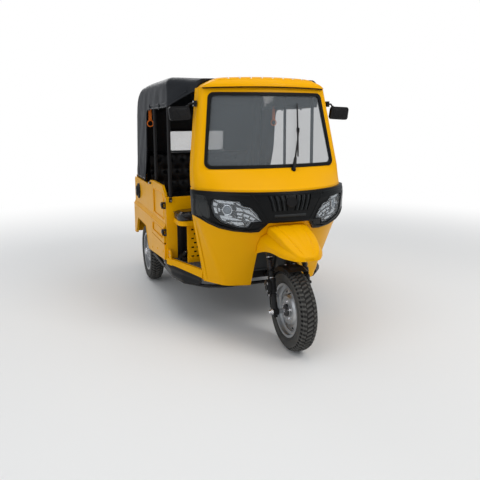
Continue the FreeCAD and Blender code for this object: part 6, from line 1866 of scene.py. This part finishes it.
def make_engine_details():
    """Cooling fins, covers, a drain plug, pipe clamps, and coils round the rear springs."""
    fins = bmesh.new()
    bright = bmesh.new()
    for k in range(15):
        y = 1.110 + k * 0.0295
        block(fins, at(-0.1950, y, 0.2580), at(0.1950, y + 0.0045, 0.3420))
    for x in (-0.09, 0.09):
        turned(fins, [(0.062, 0.0), (0.062, 0.010), (0.055, 0.014), (0.020, 0.016), (0, 0.016)],
               at(x, 1.5600, 0.308), (0, 1, 0), 36)
        for k in range(6):
            angle = math.pi / 3 * k
            bolt(bright, at(x + 0.050 * math.cos(angle), 1.5735, 0.308 + 0.050 * math.sin(angle)), (0, 1, 0),
                 0.0045, 0.004)
    bolt(bright, at(0.0, 1.32, 0.2500), (0, 0, -1), 0.0120, 0.008)
    for y in (1.590, 1.760):
        turned(bright, [(0.0165, -0.006), (0.0185, -0.005), (0.0185, 0.005), (0.0165, 0.006)],
               at(0.120, y, 0.300),
               (0, 1, 0), 24)
    mesh_piece("engine_fins", fins, "iron", bevel=0.0008)
    mesh_piece("engine_bolts", bright, "silver")
    coils = [helix(at(side * 0.400, 2.0, 0.322), Vector((0, 0, 1)), 0.0345, 0.292, 6.5) for side in (-1, 1)]
    tubes("rear_spring_coils", coils, 0.0050, "black_steel")
    plates = bmesh.new()
    for side in (-1, 1):
        for dy in (-0.024, 0.024):
            for dx in (-0.024, 0.024):
                bolt(plates, at(side * 0.400 + dx, 2.0 + dy, 0.3148), (0, 0, 1), 0.0050, 0.0045)
    mesh_piece("rear_axle_bolts", plates, "silver")


def make_strap_details():
    """A woven loop over the rail, a cross band and stitching on each grab strap."""
    loops = []
    cloth = bmesh.new()
    for side in (-1, 1):
        x = side * 0.592
        turned(cloth, [(0.0108, -0.013), (0.0124, -0.013), (0.0124, 0.013), (0.0108, 0.013)],
               at(side * 0.600, 1.735, 1.628), (1, 0, 0), 28)
        block(cloth, at(x - 0.0145, 1.7325, 1.560), at(x + 0.0145, 1.7375, 1.572))
        loops += [[at(x + dx, 1.7375, z) for z in (1.535, 1.570, 1.606)] for dx in (-0.011, 0.011)]
    mesh_piece("grab_strap_loops", cloth, "orange", bevel=0.0006)
    tubes("grab_strap_stitching", loops, 0.0009, "dial")


def make_lamp_covers():
    """Smoked glazing over each outer end of the mask."""
    bm = bmesh.new()
    for side in (-1, 1):
        nose_patch(bm, [(0.570, 1.030), (0.512, 1.026), (0.494, 0.956), (0.484, 0.884), (0.500, 0.868),
                        (0.570, 0.898)], MASK_PROUD + 0.0012, side)
    mesh_piece("mask_smoked_glazing", bm, "smoke")


def make_small_parts():
    make_cab_flanges()
    make_hinges()
    make_partition_fittings()
    make_brake_lever()
    make_mats()
    make_mirror_details()
    make_fork_details()
    make_mudguard_details()
    make_wheel_details()
    make_handlebar_details()
    make_dashboard_details()
    make_canopy_details()
    make_side_details()
    make_rear_details()
    make_engine_details()
    make_strap_details()
    make_lamp_covers()
    make_side_beads()
    make_step_apron()
    make_fork_sliders()
    make_lamp_facets()


# Studio

def make_floor():
    """A pale floor that keeps the shadow near the object and fades to white far from it."""
    material, tree, shader = new_material("studio_floor")
    settle(shader, Base_Color=(0.80, 0.80, 0.79, 1.0), Roughness=0.9, Specular_IOR_Level=0.1)
    where = node(tree, "ShaderNodeTexCoord")
    length = node(tree, "ShaderNodeVectorMath", operation="LENGTH")
    tree.links.new(where.outputs["Object"], length.inputs[0])
    fade = node(tree, "ShaderNodeMapRange", interpolation_type="SMOOTHSTEP", From_Min=2.6, From_Max=6.5)
    tree.links.new(length.outputs["Value"], fade.inputs["Value"])
    glow = node(tree, "ShaderNodeEmission", Color=(1.0, 1.0, 1.0, 1.0))
    seen = seen_rays(tree)
    share = node(tree, "ShaderNodeMath", operation="MULTIPLY")
    tree.links.new(fade.outputs["Result"], share.inputs[0])
    tree.links.new(seen, share.inputs[1])
    mix = node(tree, "ShaderNodeMixShader")
    tree.links.new(share.outputs[0], mix.inputs[0])
    tree.links.new(shader.outputs[0], mix.inputs[1])
    tree.links.new(glow.outputs[0], mix.inputs[2])
    tree.links.new(mix.outputs[0], tree.nodes["Material Output"].inputs["Surface"])
    bm = bmesh.new()
    bmesh.ops.create_grid(bm, x_segments=8, y_segments=8, size=60.0)
    mesh = bpy.data.meshes.new("studio_floor")
    bm.to_mesh(mesh)
    bm.free()
    floor = bpy.data.objects.new("studio_floor", mesh)
    bpy.context.scene.collection.objects.link(floor)
    floor.data.materials.append(material)


def seen_rays(tree):
    """1 for rays from the camera, and for those that glass sends on."""
    path = node(tree, "ShaderNodeLightPath")
    either = node(tree, "ShaderNodeMath", operation="MAXIMUM")
    tree.links.new(path.outputs["Is Camera Ray"], either.inputs[0])
    tree.links.new(path.outputs["Is Transmission Ray"], either.inputs[1])
    return either.outputs[0]


def make_lights():
    """A soft sky, white where the camera sees it, and four area lamps."""
    world = bpy.data.worlds.new("studio")
    world.use_nodes = True
    tree = world.node_tree
    back = settle(tree.nodes["Background"], Color=(0.92, 0.95, 1.0, 1.0), Strength=0.50)
    white = node(tree, "ShaderNodeBackground", Color=(1.0, 1.0, 1.0, 1.0), Strength=1.0)
    mix = node(tree, "ShaderNodeMixShader")
    tree.links.new(seen_rays(tree), mix.inputs[0])
    tree.links.new(back.outputs[0], mix.inputs[1])
    tree.links.new(white.outputs[0], mix.inputs[2])
    tree.links.new(mix.outputs[0], tree.nodes["World Output"].inputs["Surface"])
    bpy.context.scene.world = world
    for name, place, size, power, colour in (
        ("key", (3.0, -5.0, 6.0), 3.0, 180.0, (1.0, 0.97, 0.93)),
        ("top", (0.0, -1.5, 7.0), 6.0, 140.0, (1.0, 1.0, 1.0)),
        ("fill", (-6.0, -3.5, 3.5), 4.0, 70.0, (0.94, 0.97, 1.0)),
        ("back", (-1.0, 6.0, 5.0), 4.0, 110.0, (1.0, 1.0, 1.0)),
    ):
        data = bpy.data.lights.new(name, "AREA")
        data.size = size
        data.energy = power
        data.color = colour
        lamp = bpy.data.objects.new(name, data)
        bpy.context.scene.collection.objects.link(lamp)
        lamp.location = place
        lamp.rotation_euler = (Vector((0, 0, 0.8)) - Vector(place)).to_track_quat("-Z", "Y").to_euler()


make_camera()
make_floor()
make_lights()
dress_cad_nodes()
canopy_piece, canopy_area = make_canopy()
make_fender()
make_visor()
make_wheels()
make_driver_seat()
make_bench()
make_headlamps()
make_mask_details()
make_wiper()
make_small_parts()
bpy.context.scene.view_settings.view_transform = "Standard"
